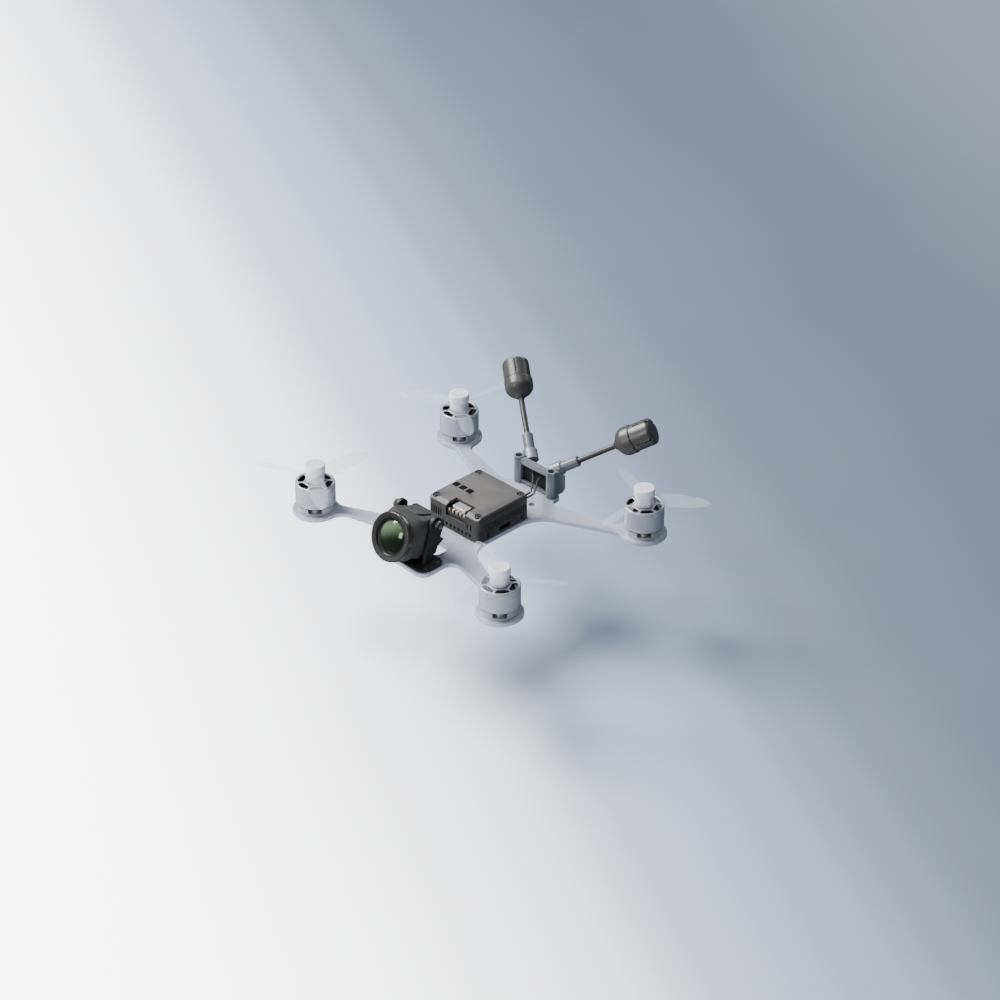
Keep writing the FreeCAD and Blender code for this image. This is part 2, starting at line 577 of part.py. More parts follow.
def prop_cap(name, side, end):
    """Plain round cap, a little wider than the hub, that clamps the propeller on the shaft."""
    low = "prop_hub_tall"
    high = "prop_hub_tall + cap_tall"
    inside = "shaft_top - bell_high"
    cap = turned([("shaft_r", low), ("cap_r", low), ("cap_r", high + " - cap_edge"),
                  ("cap_r - cap_edge", high), ("0", high), ("0", inside), ("shaft_r", inside)])
    x, y = motor_centre(side, end)
    keep(bind(cap, x=x, y=y, z="plate_thick + bell_high"), "prop_cap_" + name)


# Video module

def slot_row(body, plane, offset, first, gap, count, wide, low, tall, reverse):
    """A row of upright slots cut into one wall."""
    sketch = attach(body, plane, offset)
    corner = ("(%s) + (%s)" % (first, wide), "(%s) + (%s)" % (low, tall))
    draw_polygon(sketch, rectangle((first, low), corner))
    feature = pocket(body, sketch, "vent_deep", reverse)
    before = body.Shape.Volume
    pattern = body.newObject("PartDesign::LinearPattern", "row")
    pattern.Originals = [feature]
    pattern.Direction = (sketch, ["H_Axis"])
    pattern.setExpression("Length", formula("(%s) * %d" % (gap, count - 1)))
    pattern.Occurrences = count
    body.Tip = pattern
    doc.recompute()
    if body.Shape.Volume > before - 1e-6:
        raise RuntimeError("a slot row cut nothing")


def square_corners(reach):
    """The four corners of a square about the origin."""
    return [(a * reach, b * reach) for a in (1, -1) for b in (1, -1)]


def module_spots(reach):
    """The same four corners as formulas."""
    return [("%d * %s" % (a, reach), "%d * %s" % (b, reach)) for a in (1, -1) for b in (1, -1)]


def module_housing():
    """Square vented tray with a port, a connector bay and a screw boss in each corner."""
    body = doc.addObject("PartDesign::Body", "housing")
    outline = attach(body, "XY_Plane", "module_low_z")
    draw_polygon(outline, rectangle(("-module_half", "-module_half"), ("module_half", "module_half")))
    pad(body, outline, "cover_low_z - module_low_z")
    round_edges(body, "module_corner", upright_near(square_corners(size("module_half"))))
    cavity = attach(body, "XY_Plane", "cover_low_z")
    inside = "module_half - module_wall"
    draw_polygon(cavity, rectangle(("-(%s)" % inside,) * 2, (inside,) * 2))
    pocket(body, cavity, "cover_low_z - module_low_z - module_floor")
    out = "module_half + 1"
    side = ("side_vent_start_y", "side_vent_pitch", SIDE_VENTS, "side_vent_wide", "side_vent_low_z",
            "side_vent_tall")
    slot_row(body, "YZ_Plane", out, *side, False)
    slot_row(body, "YZ_Plane", "-(%s)" % out, *side, True)
    slot_row(body, "XZ_Plane", "-(%s)" % out, *side, True)
    slot_row(body, "XZ_Plane", out, "front_vent_x", "front_vent_pitch", FRONT_VENTS, "front_vent_wide",
             "side_vent_low_z", "side_vent_tall", False)
    slot_row(body, "XZ_Plane", out, "bay_vent_x", "bay_vent_pitch", 2, "front_vent_wide",
             "bay_vent_low_z", "bay_vent_tall", False)
    slot_row(body, "XZ_Plane", out, "low_vent_x", "low_vent_pitch", LOW_VENTS, "low_vent_wide",
             "low_vent_z", "low_vent_tall", False)
    slot_row(body, "YZ_Plane", out, "corner_vent_y", "corner_vent_pitch", 2, "corner_vent_wide",
             "corner_vent_z", "corner_vent_tall", False)
    bay = box(("bay_left_x", "-module_half - 1", "bay_low_z"),
              ("bay_right_x", "-module_half + module_wall + 0.1", "module_top_z"))
    port = box(("module_half - 2 * module_wall", "port_y - port_wide / 2", "port_low_z"),
               ("module_half + 1", "port_y + port_wide / 2", "port_low_z + port_tall"))
    button = rod("button_hole_r", ("module_half - 2 * module_wall", "button_y", "button_z"),
                 "3 * module_wall", "X")
    holed = cut(body, [bay, port, button])
    floor = "module_low_z + module_floor / 2"
    bosses = [rod("boss_r", (x, y, floor), "cover_low_z - (%s)" % floor)
              for x, y in module_spots("boss_at")]
    drills = [rod("boss_hole_r", (x, y, "cover_low_z - boss_hole_deep"), "boss_hole_deep + 2")
              for x, y in module_spots("boss_at")]
    keep(cut(fuse([holed] + bosses), drills), "module_housing")


def module_cover():
    """Top cover with a sloped front edge, screw recesses, tile pockets and the connector cut-out."""
    body = doc.addObject("PartDesign::Body", "cover")
    outline = attach(body, "XY_Plane", "cover_low_z")
    half = "module_half - cover_inset"
    draw_polygon(outline, rectangle(("-(%s)" % half,) * 2, (half,) * 2))
    pad(body, outline, "module_top_z - cover_low_z")
    edge = size("module_half") - size("cover_inset")
    round_edges(body, "module_corner", upright_near(square_corners(edge)))
    bevel_edges(body, "cover_edge", at_height(size("module_top_z")))
    slope = attach(body, "YZ_Plane", "-module_half")
    foot = "module_top_z - cover_nose_drop"
    draw_polygon(slope, [("-module_half - 1", foot), ("-module_half - 1", "module_top_z + 1"),
                         ("-(%s) + cover_nose" % half, "module_top_z + 1"),
                         ("-(%s) + cover_nose" % half, "module_top_z"), ("-(%s)" % half, foot)])
    pocket(body, slope, "module_half * 2", True)
    sinks = attach(body, "XY_Plane", "module_top_z")
    draw_circles(sinks, [(x, y, "cover_recess_r") for x, y in module_spots("boss_at")])
    pocket(body, sinks, "cover_recess_deep")
    holes = attach(body, "XY_Plane", "module_top_z")
    draw_circles(holes, [(x, y, "cover_screw_r") for x, y in module_spots("boss_at")])
    pocket(body, holes, "module_top_z - cover_low_z")
    bay = box(("bay_left_x", "-module_half - 1", "cover_low_z - 1"),
              ("bay_right_x", "bay_back_y", "module_top_z + 1"))
    tiles = [box(*tile_corners(k, "0", "module_top_z + 1")) for k in range(TILES)]
    keep(cut(body, [bay] + tiles), "module_cover")


def tile_corners(k, gap, top):
    """Opposite corners of the k-th square tile's pocket, or of the tile itself when a gap is given."""
    x = "tile_first_x + %d * tile_pitch" % k
    reach = "(tile_size / 2 - %s)" % gap
    return (("%s - %s" % (x, reach), "tile_y - " + reach, "module_top_z - tile_deep"),
            ("%s + %s" % (x, reach), "tile_y + " + reach, top))


def module_windows():
    """Three square tiles, set just below the cover's surface."""
    tiles = [box(*tile_corners(k, "tile_gap", "module_top_z - tile_sunk")) for k in range(TILES)]
    keep(group(tiles), "module_windows")


def circuit_boards():
    """The two boards inside the module, notched round the screw bosses and the port."""
    port = box(("module_half - port_deep - tile_gap", "port_y - port_wide / 2 - tile_gap", "0"),
               ("module_half", "port_y + port_wide / 2 + tile_gap", "module_top_z"))
    for label, low, half, extra in (("video_board", "video_board_z", "board_half", []),
                                    ("flight_board", "flight_board_z", "flight_board_half", [port])):
        board = box(("-" + half, "-" + half, low), (half, half, low + " + board_thick"))
        notches = [rod("board_notch_r", (x, y, low + " - 1"), "board_thick + 2")
                   for x, y in module_spots("boss_at")]
        keep(cut(board, notches + extra), label)


def heat_spreader():
    """Finned plate between the video board and the cover."""
    base = "video_board_z + board_thick"
    plate = box(("-spreader_half", "spreader_front_y", base),
                ("spreader_half", "spreader_back_y", base + " + spreader_base"))
    fins = []
    for k in range(FINS):
        x = "-spreader_half + %d * fin_pitch" % k
        fins.append(box((x, "spreader_front_y", base + " + spreader_base / 2"),
                        (x + " + fin_wide", "spreader_back_y", "spreader_top_z")))
    keep(fuse([plate] + fins), "heat_spreader")


def connectors():
    """Header, shield and pins in the front cut-out, and the port in the left wall."""
    keep(box(("bay_left_x + bay_gap", "header_front_y", "header_low_z"),
             ("bay_right_x - bay_gap", "header_back_y", "header_top_z")), "connector_header")
    keep(box(("shield_left_x", "shield_front_y", "header_top_z"),
             ("shield_right_x", "shield_back_y", "shield_top_z")), "connector_shield")
    pins = []
    for k in range(PINS):
        x = "pin_first_x + %d * pin_pitch" % k
        pins.append(box((x, "header_front_y", "header_top_z"),
                        (x + " + pin_wide", "pin_back_y", "pin_top_z")))
    keep(group(pins), "connector_pins")
    low = ("module_half - port_deep", "port_y - port_wide / 2", "port_low_z")
    high = ("module_half", "port_y + port_wide / 2", "port_low_z + port_tall")
    inner = box(tuple(text + " + port_wall" for text in low),
                ("module_half + 1", high[1] + " - port_wall", high[2] + " - port_wall"))
    middle = "port_low_z + port_tall / 2"
    tongue = box(("module_half - port_deep", "port_y - tongue_wide / 2", middle + " - tongue_thick / 2"),
                 ("module_half - tongue_back", "port_y + tongue_wide / 2", middle + " + tongue_thick / 2"))
    keep(fuse([cut(box(low, high), [inner]), tongue]), "usb_port")


def cover_screws():
    seat = "module_top_z - cover_recess_deep"
    tip = "cover_low_z - cover_screw_long"
    top = seat + " + cover_head_tall"
    floor = top + " - cover_socket_deep"
    screw = turned([("0", tip), ("cover_screw_r", tip), ("cover_screw_r", seat), ("cover_head_r", seat),
                    ("cover_head_r", top), ("cover_socket_r", top), ("cover_socket_r", floor), ("0", floor)])
    keep(group([copy_at(screw, x, y) for x, y in module_spots("boss_at")]), "cover_screws")


def module_pads():
    """Rubber feet between the module and the frame."""
    feet = [rod("foot_pad_r", (x, y, "plate_thick"), "module_low_z - plate_thick")
            for x, y in module_spots("foot_pad_at")]
    keep(group(feet), "module_pads")


def link_button():
    """Small push button beside the port, held in by its flange."""
    inner = "module_half - module_wall - button_flange_thick - button_play"
    stem = rod("button_r", (inner, "button_y", "button_z"), "module_half + button_proud - (%s)" % inner, "X")
    flange = rod("button_flange_r", (inner, "button_y", "button_z"), "button_flange_thick", "X")
    keep(fuse([stem, flange]), "link_button")


# Camera

def in_camera_frame(thing, label):
    """Move a piece from the camera's own frame to its place, tilted up about the pivot."""
    thing.Placement = Placement(Vector(), Rotation(Vector(1, 0, 0), -size("camera_tilt")))
    thing.setExpression("Placement.Rotation.Angle", formula("-camera_tilt"))
    keep(bind(thing, y="pivot_y", z="pivot_z"), label)


def along_lens(corners):
    """A piece turned about the lens axis, from an outline of (radius, distance back) formulas."""
    piece = turned(corners)
    piece.Placement = Placement(Vector(), Rotation(Vector(1, 0, 0), -90))
    bind(piece, z="-lens_drop")
    return group([piece])


def runs_along_lens(edge):
    """A test for edges parallel to the lens axis while the camera is still upright."""
    return edge.BoundBox.XLength < 1e-4 and edge.BoundBox.ZLength < 1e-4


def camera_block(label, half, bottom, front, back, corner):
    """A block round the lens axis with rounded long edges, between two distances back."""
    body = doc.addObject("PartDesign::Body", label)
    outline = attach(body, "XZ_Plane", "-(%s)" % back)
    draw_polygon(outline, rectangle(("-" + half, "-" + bottom), (half, "camera_top")))
    pad(body, outline, "(%s) - (%s)" % (back, front))
    round_edges(body, corner, runs_along_lens)
    return body


def camera_housing():
    """Round nose that swells into square shoulders and a narrower box, hollow and open at the back."""
    nose = rod("nose_tube_r", ("0", "ring_deep - lens_front", "-lens_drop"),
               "lens_front - ring_deep - nose_tube_back", "Y")
    shoulders = camera_block("shoulders", "shoulder_half", "shoulder_bottom", "ring_deep - lens_front",
                             "-shoulder_back", "shoulder_round")
    flare = along_lens([("0", "ring_deep - lens_front"), ("nose_tube_r", "ring_deep - lens_front"),
                        ("shoulder_r", "-shoulder_full"), ("shoulder_r + 2", "-shoulder_back + 1"),
                        ("0", "-shoulder_back + 1")])
    swell = doc.addObject("Part::Common", "swell")
    swell.Base = shoulders
    swell.Tool = flare
    rear = camera_block("camera_box", "camera_half", "camera_bottom", "-camera_face", "camera_split",
                        "camera_round")
    plateau = box(("-plateau_half", "-plateau_front", "0"), ("plateau_half", "plateau_back", "plateau_top"))
    slot = box(("-plateau_slot_half", "-plateau_slot_front", "camera_top"),
               ("plateau_slot_half", "-plateau_slot_back", "plateau_top + 1"))
    hollow = box(("-camera_half + camera_wall", "-camera_face + camera_wall",
                  "-camera_bottom + camera_wall"),
                 ("camera_half - camera_wall", "camera_split + 1", "camera_top - camera_wall"))
    bore = rod("barrel_r + barrel_gap", ("0", "-lens_front", "-lens_drop"),
               "lens_front - barrel_back + 0.5", "Y")
    threads = rod("screw_r", ("-camera_half - 1", "0", "0"), "2 * camera_half + 2", "X")
    ears = [rod("cheek_ring_r", (x, "0", "0"), "ear_thick", "X")
            for x in ("camera_half - ear_thick", "-camera_half")]
    shell = cut(fuse([nose, swell, rear, plateau]), [hollow, bore, slot])
    in_camera_frame(cut(fuse([shell] + ears), [threads]), "camera_housing")


def camera_rear_cover():
    """Flat back of the box with a bevelled lower edge and a small cable boot."""
    body = camera_block("rear_cover", "camera_half", "camera_bottom", "camera_split", "camera_back",
                        "camera_round")
    wedge = attach(body, "YZ_Plane", "-camera_half - 1")
    draw_polygon(wedge, [("camera_back + 1", "-camera_bottom - 1"), ("camera_split", "-camera_bottom - 1"),
                         ("camera_split", "-camera_bottom"),
                         ("camera_back", "-camera_bottom + camera_back_bevel"),
                         ("camera_back + 1", "-camera_bottom + camera_back_bevel")])
    pocket(body, wedge, "2 * camera_half + 2", True)
    boot = box(("-boot_half", "camera_back - 0.5", "-boot_low"), ("boot_half", "boot_back", "-boot_high"))
    in_camera_frame(fuse([body, boot]), "camera_rear_cover")


def lens_parts():
    """Front ring, barrel and domed glass, all about the lens axis."""
    front = "-lens_front"
    back = "ring_deep - lens_front"
    lip = "ring_inner_r - ring_lip"
    ring = along_lens([(lip, front + " + ring_lip"), ("ring_crest_r", front),
                       ("ring_r - ring_lip", front + " + ring_slope"),
                       ("ring_r", front + " + ring_edge"), ("ring_r", back), ("ring_inner_r", back),
                       ("ring_inner_r", "-ring_lip_back"), (lip, "-ring_lip_back")])
    in_camera_frame(ring, "lens_ring")
    inner_back = "-barrel_back - barrel_wall"
    wall = "barrel_bore_r - 1"
    barrel = along_lens([("barrel_bore_r", "-barrel_front"), ("barrel_r", "-barrel_front"),
                         ("barrel_r", "-barrel_back"), ("barrel_iris_r", "-barrel_back"),
                         ("barrel_iris_r", inner_back), (wall, inner_back), (wall, "-barrel_seat"),
                         ("barrel_bore_r", "-barrel_seat")])
    in_camera_frame(barrel, "lens_barrel")
    ball = doc.addObject("Part::Sphere", "dome")
    bind(ball, Radius="glass_dome_r", y="glass_dome_r - glass_crown", z="-lens_drop")
    disc = rod("glass_r", ("0", "-glass_crown - 1", "-lens_drop"), "glass_crown + 1 - barrel_seat", "Y")
    lens = doc.addObject("Part::Common", "lens")
    lens.Base = ball
    lens.Tool = disc
    in_camera_frame(lens, "lens_glass")
    board = box(("-sensor_half", "sensor_at", "-lens_drop - sensor_tall"),
                ("sensor_half", "sensor_at + sensor_thick", "-lens_drop + sensor_tall"))
    chip = box(("-chip_half", "sensor_at - chip_thick", "-lens_drop - chip_half"),
               ("chip_half", "sensor_at", "-lens_drop + chip_half"))
    in_camera_frame(fuse([board, chip]), "camera_sensor")


def tilt_screws():
    """A screw with a round head on each side; the camera tilts about them."""
    screws = []
    for _, side in SIDES:
        start = "knob_inner_x" if side > 0 else "-knob_outer_x"
        mouth = "knob_outer_x - knob_socket_deep" if side > 0 else "-knob_outer_x"
        shank = "knob_shank_x" if side > 0 else "-knob_inner_x"
        head = rod("knob_r", (start, "0", "0"), "knob_outer_x - knob_inner_x", "X")
        stem = rod("screw_r", (shank, "0", "0"), "knob_inner_x - knob_shank_x", "X")
        socket = rod("knob_socket_r", (mouth, "0", "0"), "knob_socket_deep", "X")
        screws.append(cut(fuse([head, stem]), [socket]))
    in_camera_frame(group(screws), "tilt_screws")


def camera_mount():
    """Thin base on the nose with a slanted cheek on each side of the camera and a cable hook behind each."""
    body = doc.addObject("PartDesign::Body", "mount_base")
    outline = attach(body, "XY_Plane", "plate_thick")
    draw_polygon(outline, rectangle(("-base_half", "base_front_y"), ("base_half", "base_back_y")))
    pad(body, outline, "base_thick")
    spots = [(side * size("base_half"), size(y))
             for _, side in SIDES for y in ("base_front_y", "base_back_y")]
    round_edges(body, "base_corner", upright_near(spots))
    pieces = [body]
    # the front edge of a cheek touches the pivot ring and keeps clear of the shoulders at full down tilt
    steepest = math.radians(size("camera_tilt") - size("tilt_down"))
    touch_y = "pivot_y - cheek_ring_r * %.5f" % math.cos(steepest)
    touch_z = "pivot_z + cheek_ring_r * %.5f" % math.sin(steepest)
    low = "plate_thick + cheek_sink"
    for start in ("cheek_inner_x", "-cheek_outer_x"):
        cheek = doc.addObject("PartDesign::Body", "cheek")
        profile = attach(cheek, "YZ_Plane", start)
        foot_y = "(%s) - ((%s) - (%s)) * %.5f" % (touch_y, touch_z, low, math.tan(steepest))
        draw_polygon(profile, [
            (touch_y, touch_z), (foot_y, low),
            ("cheek_foot_y", low), ("cheek_heel_y", "cheek_heel_z"), ("hook_root_y", "hook_root_z"),
            ("hook_low_y", "hook_low_z"), ("hook_tip_y", "hook_tip_z"), ("hook_top_y", "hook_top_z"),
            ("pivot_y + cheek_back", "pivot_z - 1")])
        pad(cheek, profile, "cheek_outer_x - cheek_inner_x")
        pieces.append(cheek)
        pieces.append(rod("cheek_ring_r", (start, "pivot_y", "pivot_z"),
                          "cheek_outer_x - cheek_inner_x", "X"))
    pivots = rod("screw_hole_r", ("-cheek_outer_x - 1", "pivot_y", "pivot_z"), "2 * cheek_outer_x + 2", "X")
    screws = [rod("screw_r", ("%d * base_screw_x" % side, y, "0"), "plate_thick + base_thick + 1")
              for _, side in SIDES for y in ("base_screw_front_y", "base_screw_back_y")]
    keep(cut(fuse(pieces), [pivots] + screws), "camera_mount")


# Antennas

def direction(side):
    """Each antenna leans 45 degrees back and 45 degrees outwards, at a right angle to the other."""
    return Vector(side * math.sqrt(0.5), 0.5, 0.5)


def on_antenna(thing, side):
    """Turn a piece made along Z onto an antenna's axis."""
    mouth = Vector(side * size("mouth_x"), size("mouth_y"), size("mouth_z"))
    thing.Placement = Placement(mouth, Rotation(Vector(0, 0, 1), direction(side)))
    return thing


def antenna_bracket():
    """Two hollow posts joined by a beam and a bar, with a sloped block and a collar behind each post."""
    front = "post_y - beam_thick / 2"
    back = "post_y + beam_thick / 2"
    reach = "post_x - post_r / 2"
    pieces = [box(("-(%s)" % reach, front, low), (reach, back, high))
              for low, high in (("beam_low_z", "post_top_z - beam_sunk"), ("bar_low_z", "bar_top_z"))]
    tools = []
    start = "post_y + post_r / 4"
    for _, side in SIDES:
        x = "%d * post_x" % side
        pieces.append(rod("post_r", (x, "post_y", "plate_thick"), "post_top_z - plate_thick"))
        block = doc.addObject("PartDesign::Body", "block")
        profile = attach(block, "YZ_Plane", x + " - block_half")
        draw_polygon(profile, [(start, "block_low_z"), ("block_back_y - block_toe", "block_low_z"),
                               ("block_back_y", "block_low_z + block_toe"),
                               ("block_back_y", "block_back_top_z"),
                               ("block_slope_y", "block_front_top_z"), (start, "block_front_top_z")])
        pad(block, profile, "2 * block_half")
        pieces.append(block)
        collar = turned([("0", "collar_start"), ("collar_r - collar_edge", "collar_start"),
                         ("collar_r", "collar_start + collar_edge"), ("collar_r", "collar_end - collar_edge"),
                         ("collar_r - collar_edge", "collar_end"), ("0", "collar_end")])
        pieces.append(group([on_antenna(collar, side)]))
        socket = turned([("0", "sleeve_start"), ("sleeve_r", "sleeve_start"), ("sleeve_r", "6"), ("0", "6")])
        lead = turned([("0", "sleeve_start - 6"), ("coax_bore_r", "sleeve_start - 6"),
                       ("coax_bore_r", "6"), ("0", "6")])
        tools += [group([on_antenna(tool, side)]) for tool in (socket, lead)]
        tools.append(rod("post_bore_r", (x, "post_y", "post_top_z - post_bore_deep"), "post_bore_deep + 1"))
        tools.append(rod("screw_r", (x, "post_y", "0"), "post_thread_z"))
    keep(cut(fuse(pieces), tools), "antenna_bracket")


def cable_guard():
    """Dark plate that closes the bracket's window, with a clearance hole for each lead."""
    reach = "post_x - post_r"
    plate = box(("-(%s)" % reach, "guard_front_y", "bar_top_z"), (reach, "guard_back_y", "beam_low_z"))
    tools = []
    for _, side in SIDES:
        hole = doc.addObject("Part::Feature", "lead_hole")
        hole.Shape = tube_along(lead_points(side), size("coax_r") + size("guard_gap"))
        tools.append(hole)
    keep(cut(plate, tools), "cable_guard")


def antenna_sleeves():
    """The tubes that hold the rods, one solid each."""
    tubes = []
    for _, side in SIDES:
        tube = turned([("rod_r", "rod_start"), ("rod_r", "0"), ("sleeve_r - sleeve_edge", "0"),
                       ("sleeve_r", "-sleeve_edge"), ("sleeve_r", "sleeve_start"), ("coax_r", "sleeve_start"),
                       ("coax_r", "rod_start")])
        tubes.append(on_antenna(tube, side))
    keep(group(tubes), "antenna_sleeves")


def antenna_rods():
    """Both rods, each from inside its sleeve to inside its cup."""
    rods = []
    for _, side in SIDES:
        mast = turned([("0", "rod_start"), ("rod_r", "rod_start"), ("rod_r", "rod_end"), ("0", "rod_end")])
        rods.append(on_antenna(mast, side))
    keep(group(rods), "antenna_rods")


def antenna_head(name, side):
    """Tapered cup and grooved cap at the end of one antenna."""
    cup = turned([("rod_r", "cup_start"), ("cup_neck_r", "cup_start"), ("cup_throat_r", "cup_throat"),
                  ("cup_flank_r", "cup_flank"), ("cup_shoulder_r", "cup_shoulder"), ("cup_r", "cup_full"),
                  ("cup_r", "cup_end"), ("0", "cup_end"), ("0", "rod_end"), ("rod_r", "rod_end")])
    keep(on_antenna(cup, side), "antenna_cup_" + name)
    cap = turned([("0", "cup_end"), ("cap_head_r", "cup_end"), ("cap_head_r", "head_end - cap_bevel"),
                  ("cap_head_r - cap_bevel / 3", "head_end - cap_bevel / 3"),
                  ("cap_head_r - cap_bevel", "head_end"), ("0", "head_end")])
    groove = box(("cap_head_r - groove_deep", "-groove_wide / 2", "groove_start"),
                 ("cap_head_r + 1", "groove_wide / 2", "head_end + 1"))
    notch = box(("cap_head_r - notch_deep", "-notch_wide / 2", "head_end - notch_long"),
                ("cap_head_r + 1", "notch_wide / 2", "head_end + 1"))
    tools = [copy_at(tool_about_axis(tool), turn=90.0 * k + 45.0)
             for k in range(4) for tool in (groove, notch)]
    keep(on_antenna(cut(cap, tools), side), "antenna_cap_" + name)


def tube_along(points, radius):
    """A round tube along straight runs joined by tangent arcs, each as large as its runs allow."""
    edges = []
    bends = []
    start = points[0]
    for before, corner, after in zip(points, points[1:], points[2:]):
        into = (corner - before).normalize()
        away = (after - corner).normalize()
        turn = into.getAngle(away)
        reach = ARC_SHARE * min((corner - before).Length, (after - corner).Length)
        arc_radius = reach / math.tan(turn / 2)
        bends.append(round(arc_radius, 1))
        enter = corner - into * reach
        leave = corner + away * reach
        bulge = (away - into).normalize() * arc_radius * (1 / math.cos(turn / 2) - 1)
        edges.append(Part.LineSegment(start, enter).toShape())
        edges.append(Part.Arc(enter, corner + bulge, leave).toShape())
        start = leave
    edges.append(Part.LineSegment(start, points[-1]).toShape())
    path = Part.Wire(edges)
    ring = Part.Wire([Part.Circle(points[0], (points[1] - points[0]).normalize(), radius).toShape()])
    tube = path.makePipeShell([ring], True, False)
    expected = path.Length * math.pi * radius ** 2
    if abs(tube.Volume - expected) > 0.02 * expected:
        raise RuntimeError("a cable's volume is wrong")
    print("lead of radius", round(radius, 2), "length", round(path.Length, 1), "bend radii", bends)
    return tube


def lead_points(side):
    """Corners of one lead's path: module's rear wall, bracket's window, foot of the sleeve."""
    wall = size("module_half")
    exit_x, window_x = LEAD_X[side]
    high = size("coax_exit_z")
    mouth = Vector(side * size("mouth_x"), size("mouth_y"), size("mouth_z"))
    end = mouth + direction(side) * size("sleeve_start")
    return [
        Vector(exit_x, wall, high),
        Vector(exit_x, wall + size("coax_exit_run"), high),
        Vector((exit_x + window_x) / 2, size("coax_middle_y"), size("coax_middle_z")),
        Vector(window_x, size("coax_window_y"), size("coax_window_z")),
        end - direction(side) * size("coax_entry_run"),
        end,
    ]


def coax_cables():
    """Two thin leads from the module's rear wall, through the bracket's window, to the sleeves."""
    leads = [tube_along(lead_points(side), size("coax_r")) for _, side in SIDES]
    feature = doc.addObject("Part::Feature", "coax")
    feature.Shape = Part.makeCompound(leads)
    keep(feature, "coax_cables")


frame_plate()
countersunk_screws("motor_screws", motor_screw_spots(), "plate_thick + foot_boss_top")
countersunk_screws("frame_screws", frame_screw_spots(), "plate_thick + base_thick")
for corner in CORNERS:
    motor_base(*corner)
    bell(*corner)
    magnet_ring(*corner)
    shaft(*corner)
    propeller(*corner)
    prop_cap(*corner)
stators()
windings()
motor_bearings()
module_housing()
module_cover()
module_windows()
circuit_boards()
heat_spreader()
connectors()
cover_screws()
module_pads()
link_button()
camera_housing()
camera_rear_cover()
lens_parts()
tilt_screws()
camera_mount()
antenna_bracket()
cable_guard()
antenna_sleeves()
antenna_rods()
for antenna_side in SIDES:
    antenna_head(*antenna_side)
coax_cables()

# Recompute, check and write

doc.recompute()
for item in doc.Objects:
    if "Invalid" in item.State or "Error" in item.State:
        raise RuntimeError("failed object: " + item.Label)
for result, base in cuts:
    if result.Shape.Volume > base.Shape.Volume - 1e-6:
        raise RuntimeError("a cut removed nothing: " + result.Label)
os.makedirs("parts", exist_ok=True)
for part in subparts:
    if part.Shape.isNull() or not part.Shape.isValid():
        raise RuntimeError("bad shape: " + part.Label)
    part.Shape.exportStep(os.path.join("parts", part.Label + ".step"))
print(len(subparts), "sub-parts written")
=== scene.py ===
import json
import math

import bmesh
import bpy
from mathutils import Matrix, Vector


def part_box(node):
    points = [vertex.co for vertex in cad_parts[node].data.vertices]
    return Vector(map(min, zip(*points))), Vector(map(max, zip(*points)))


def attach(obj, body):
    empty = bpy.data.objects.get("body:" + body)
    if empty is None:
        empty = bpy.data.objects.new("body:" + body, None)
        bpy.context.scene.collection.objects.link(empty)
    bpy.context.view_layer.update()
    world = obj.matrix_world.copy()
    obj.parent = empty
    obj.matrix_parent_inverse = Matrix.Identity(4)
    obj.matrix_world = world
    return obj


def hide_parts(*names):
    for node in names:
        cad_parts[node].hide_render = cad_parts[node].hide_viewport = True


# Looks of an FPV racing drone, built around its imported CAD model. Metres, +Z up, nose along -Y.
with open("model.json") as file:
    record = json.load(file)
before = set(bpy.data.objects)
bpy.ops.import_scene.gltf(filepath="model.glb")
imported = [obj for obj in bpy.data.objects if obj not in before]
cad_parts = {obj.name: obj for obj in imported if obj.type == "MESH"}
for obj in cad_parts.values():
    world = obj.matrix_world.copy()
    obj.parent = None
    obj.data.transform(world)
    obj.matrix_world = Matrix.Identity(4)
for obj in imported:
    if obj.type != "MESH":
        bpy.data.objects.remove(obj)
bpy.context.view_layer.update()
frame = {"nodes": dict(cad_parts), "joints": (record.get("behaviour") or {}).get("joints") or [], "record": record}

MM = 0.001
CORNERS = ("front_left", "front_right", "rear_left", "rear_right")
SIDE = {"front_left": 1, "front_right": -1, "rear_left": 1, "rear_right": -1}  # +1 on the drone's left
HAND = {"front_left": -1, "front_right": 1, "rear_left": 1, "rear_right": -1}  # the propellers' sense
JOINTS = {joint["name"]: joint for joint in frame["joints"]}


# ---------------------------------------------------------------- places read from the frame

def middle(node):
    low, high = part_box(node)
    return (low + high) / 2


def motor_axis(corner):
    """The point on a motor's axis at the underside of the frame plate."""
    centre = middle("shaft_" + corner)
    return Vector((centre.x, centre.y, 0.0))


PIVOT = Vector(JOINTS["camera_tilt"]["pos_m"])
CAMERA_TILT = math.radians(22.0)
CAMERA_FRAME = Matrix.Translation(PIVOT) @ Matrix.Rotation(-CAMERA_TILT, 4, "X")
LENS_DROP = 10.6  # millimetres from the tilt axis down to the lens axis
LENS_AXIS = (CAMERA_FRAME @ Matrix.Translation((0, 0, -LENS_DROP * MM))
             @ Matrix.Rotation(math.radians(90), 4, "X"))
LENS_CENTRE = LENS_AXIS @ Vector((0, 0, 15 * MM))
GREEN_REFLECTION_SIDE = (CAMERA_FRAME.to_3x3() @ Vector((-0.45, 0.0, 0.89))).normalized()


# ---------------------------------------------------------------- materials

NOISE_LOW, NOISE_HIGH = 0.3, 0.7  # nearly all of a noise texture's values lie between these
EDGE_START, EDGE_FULL = 0.52, 0.60  # pointiness at which worn edges begin and are complete


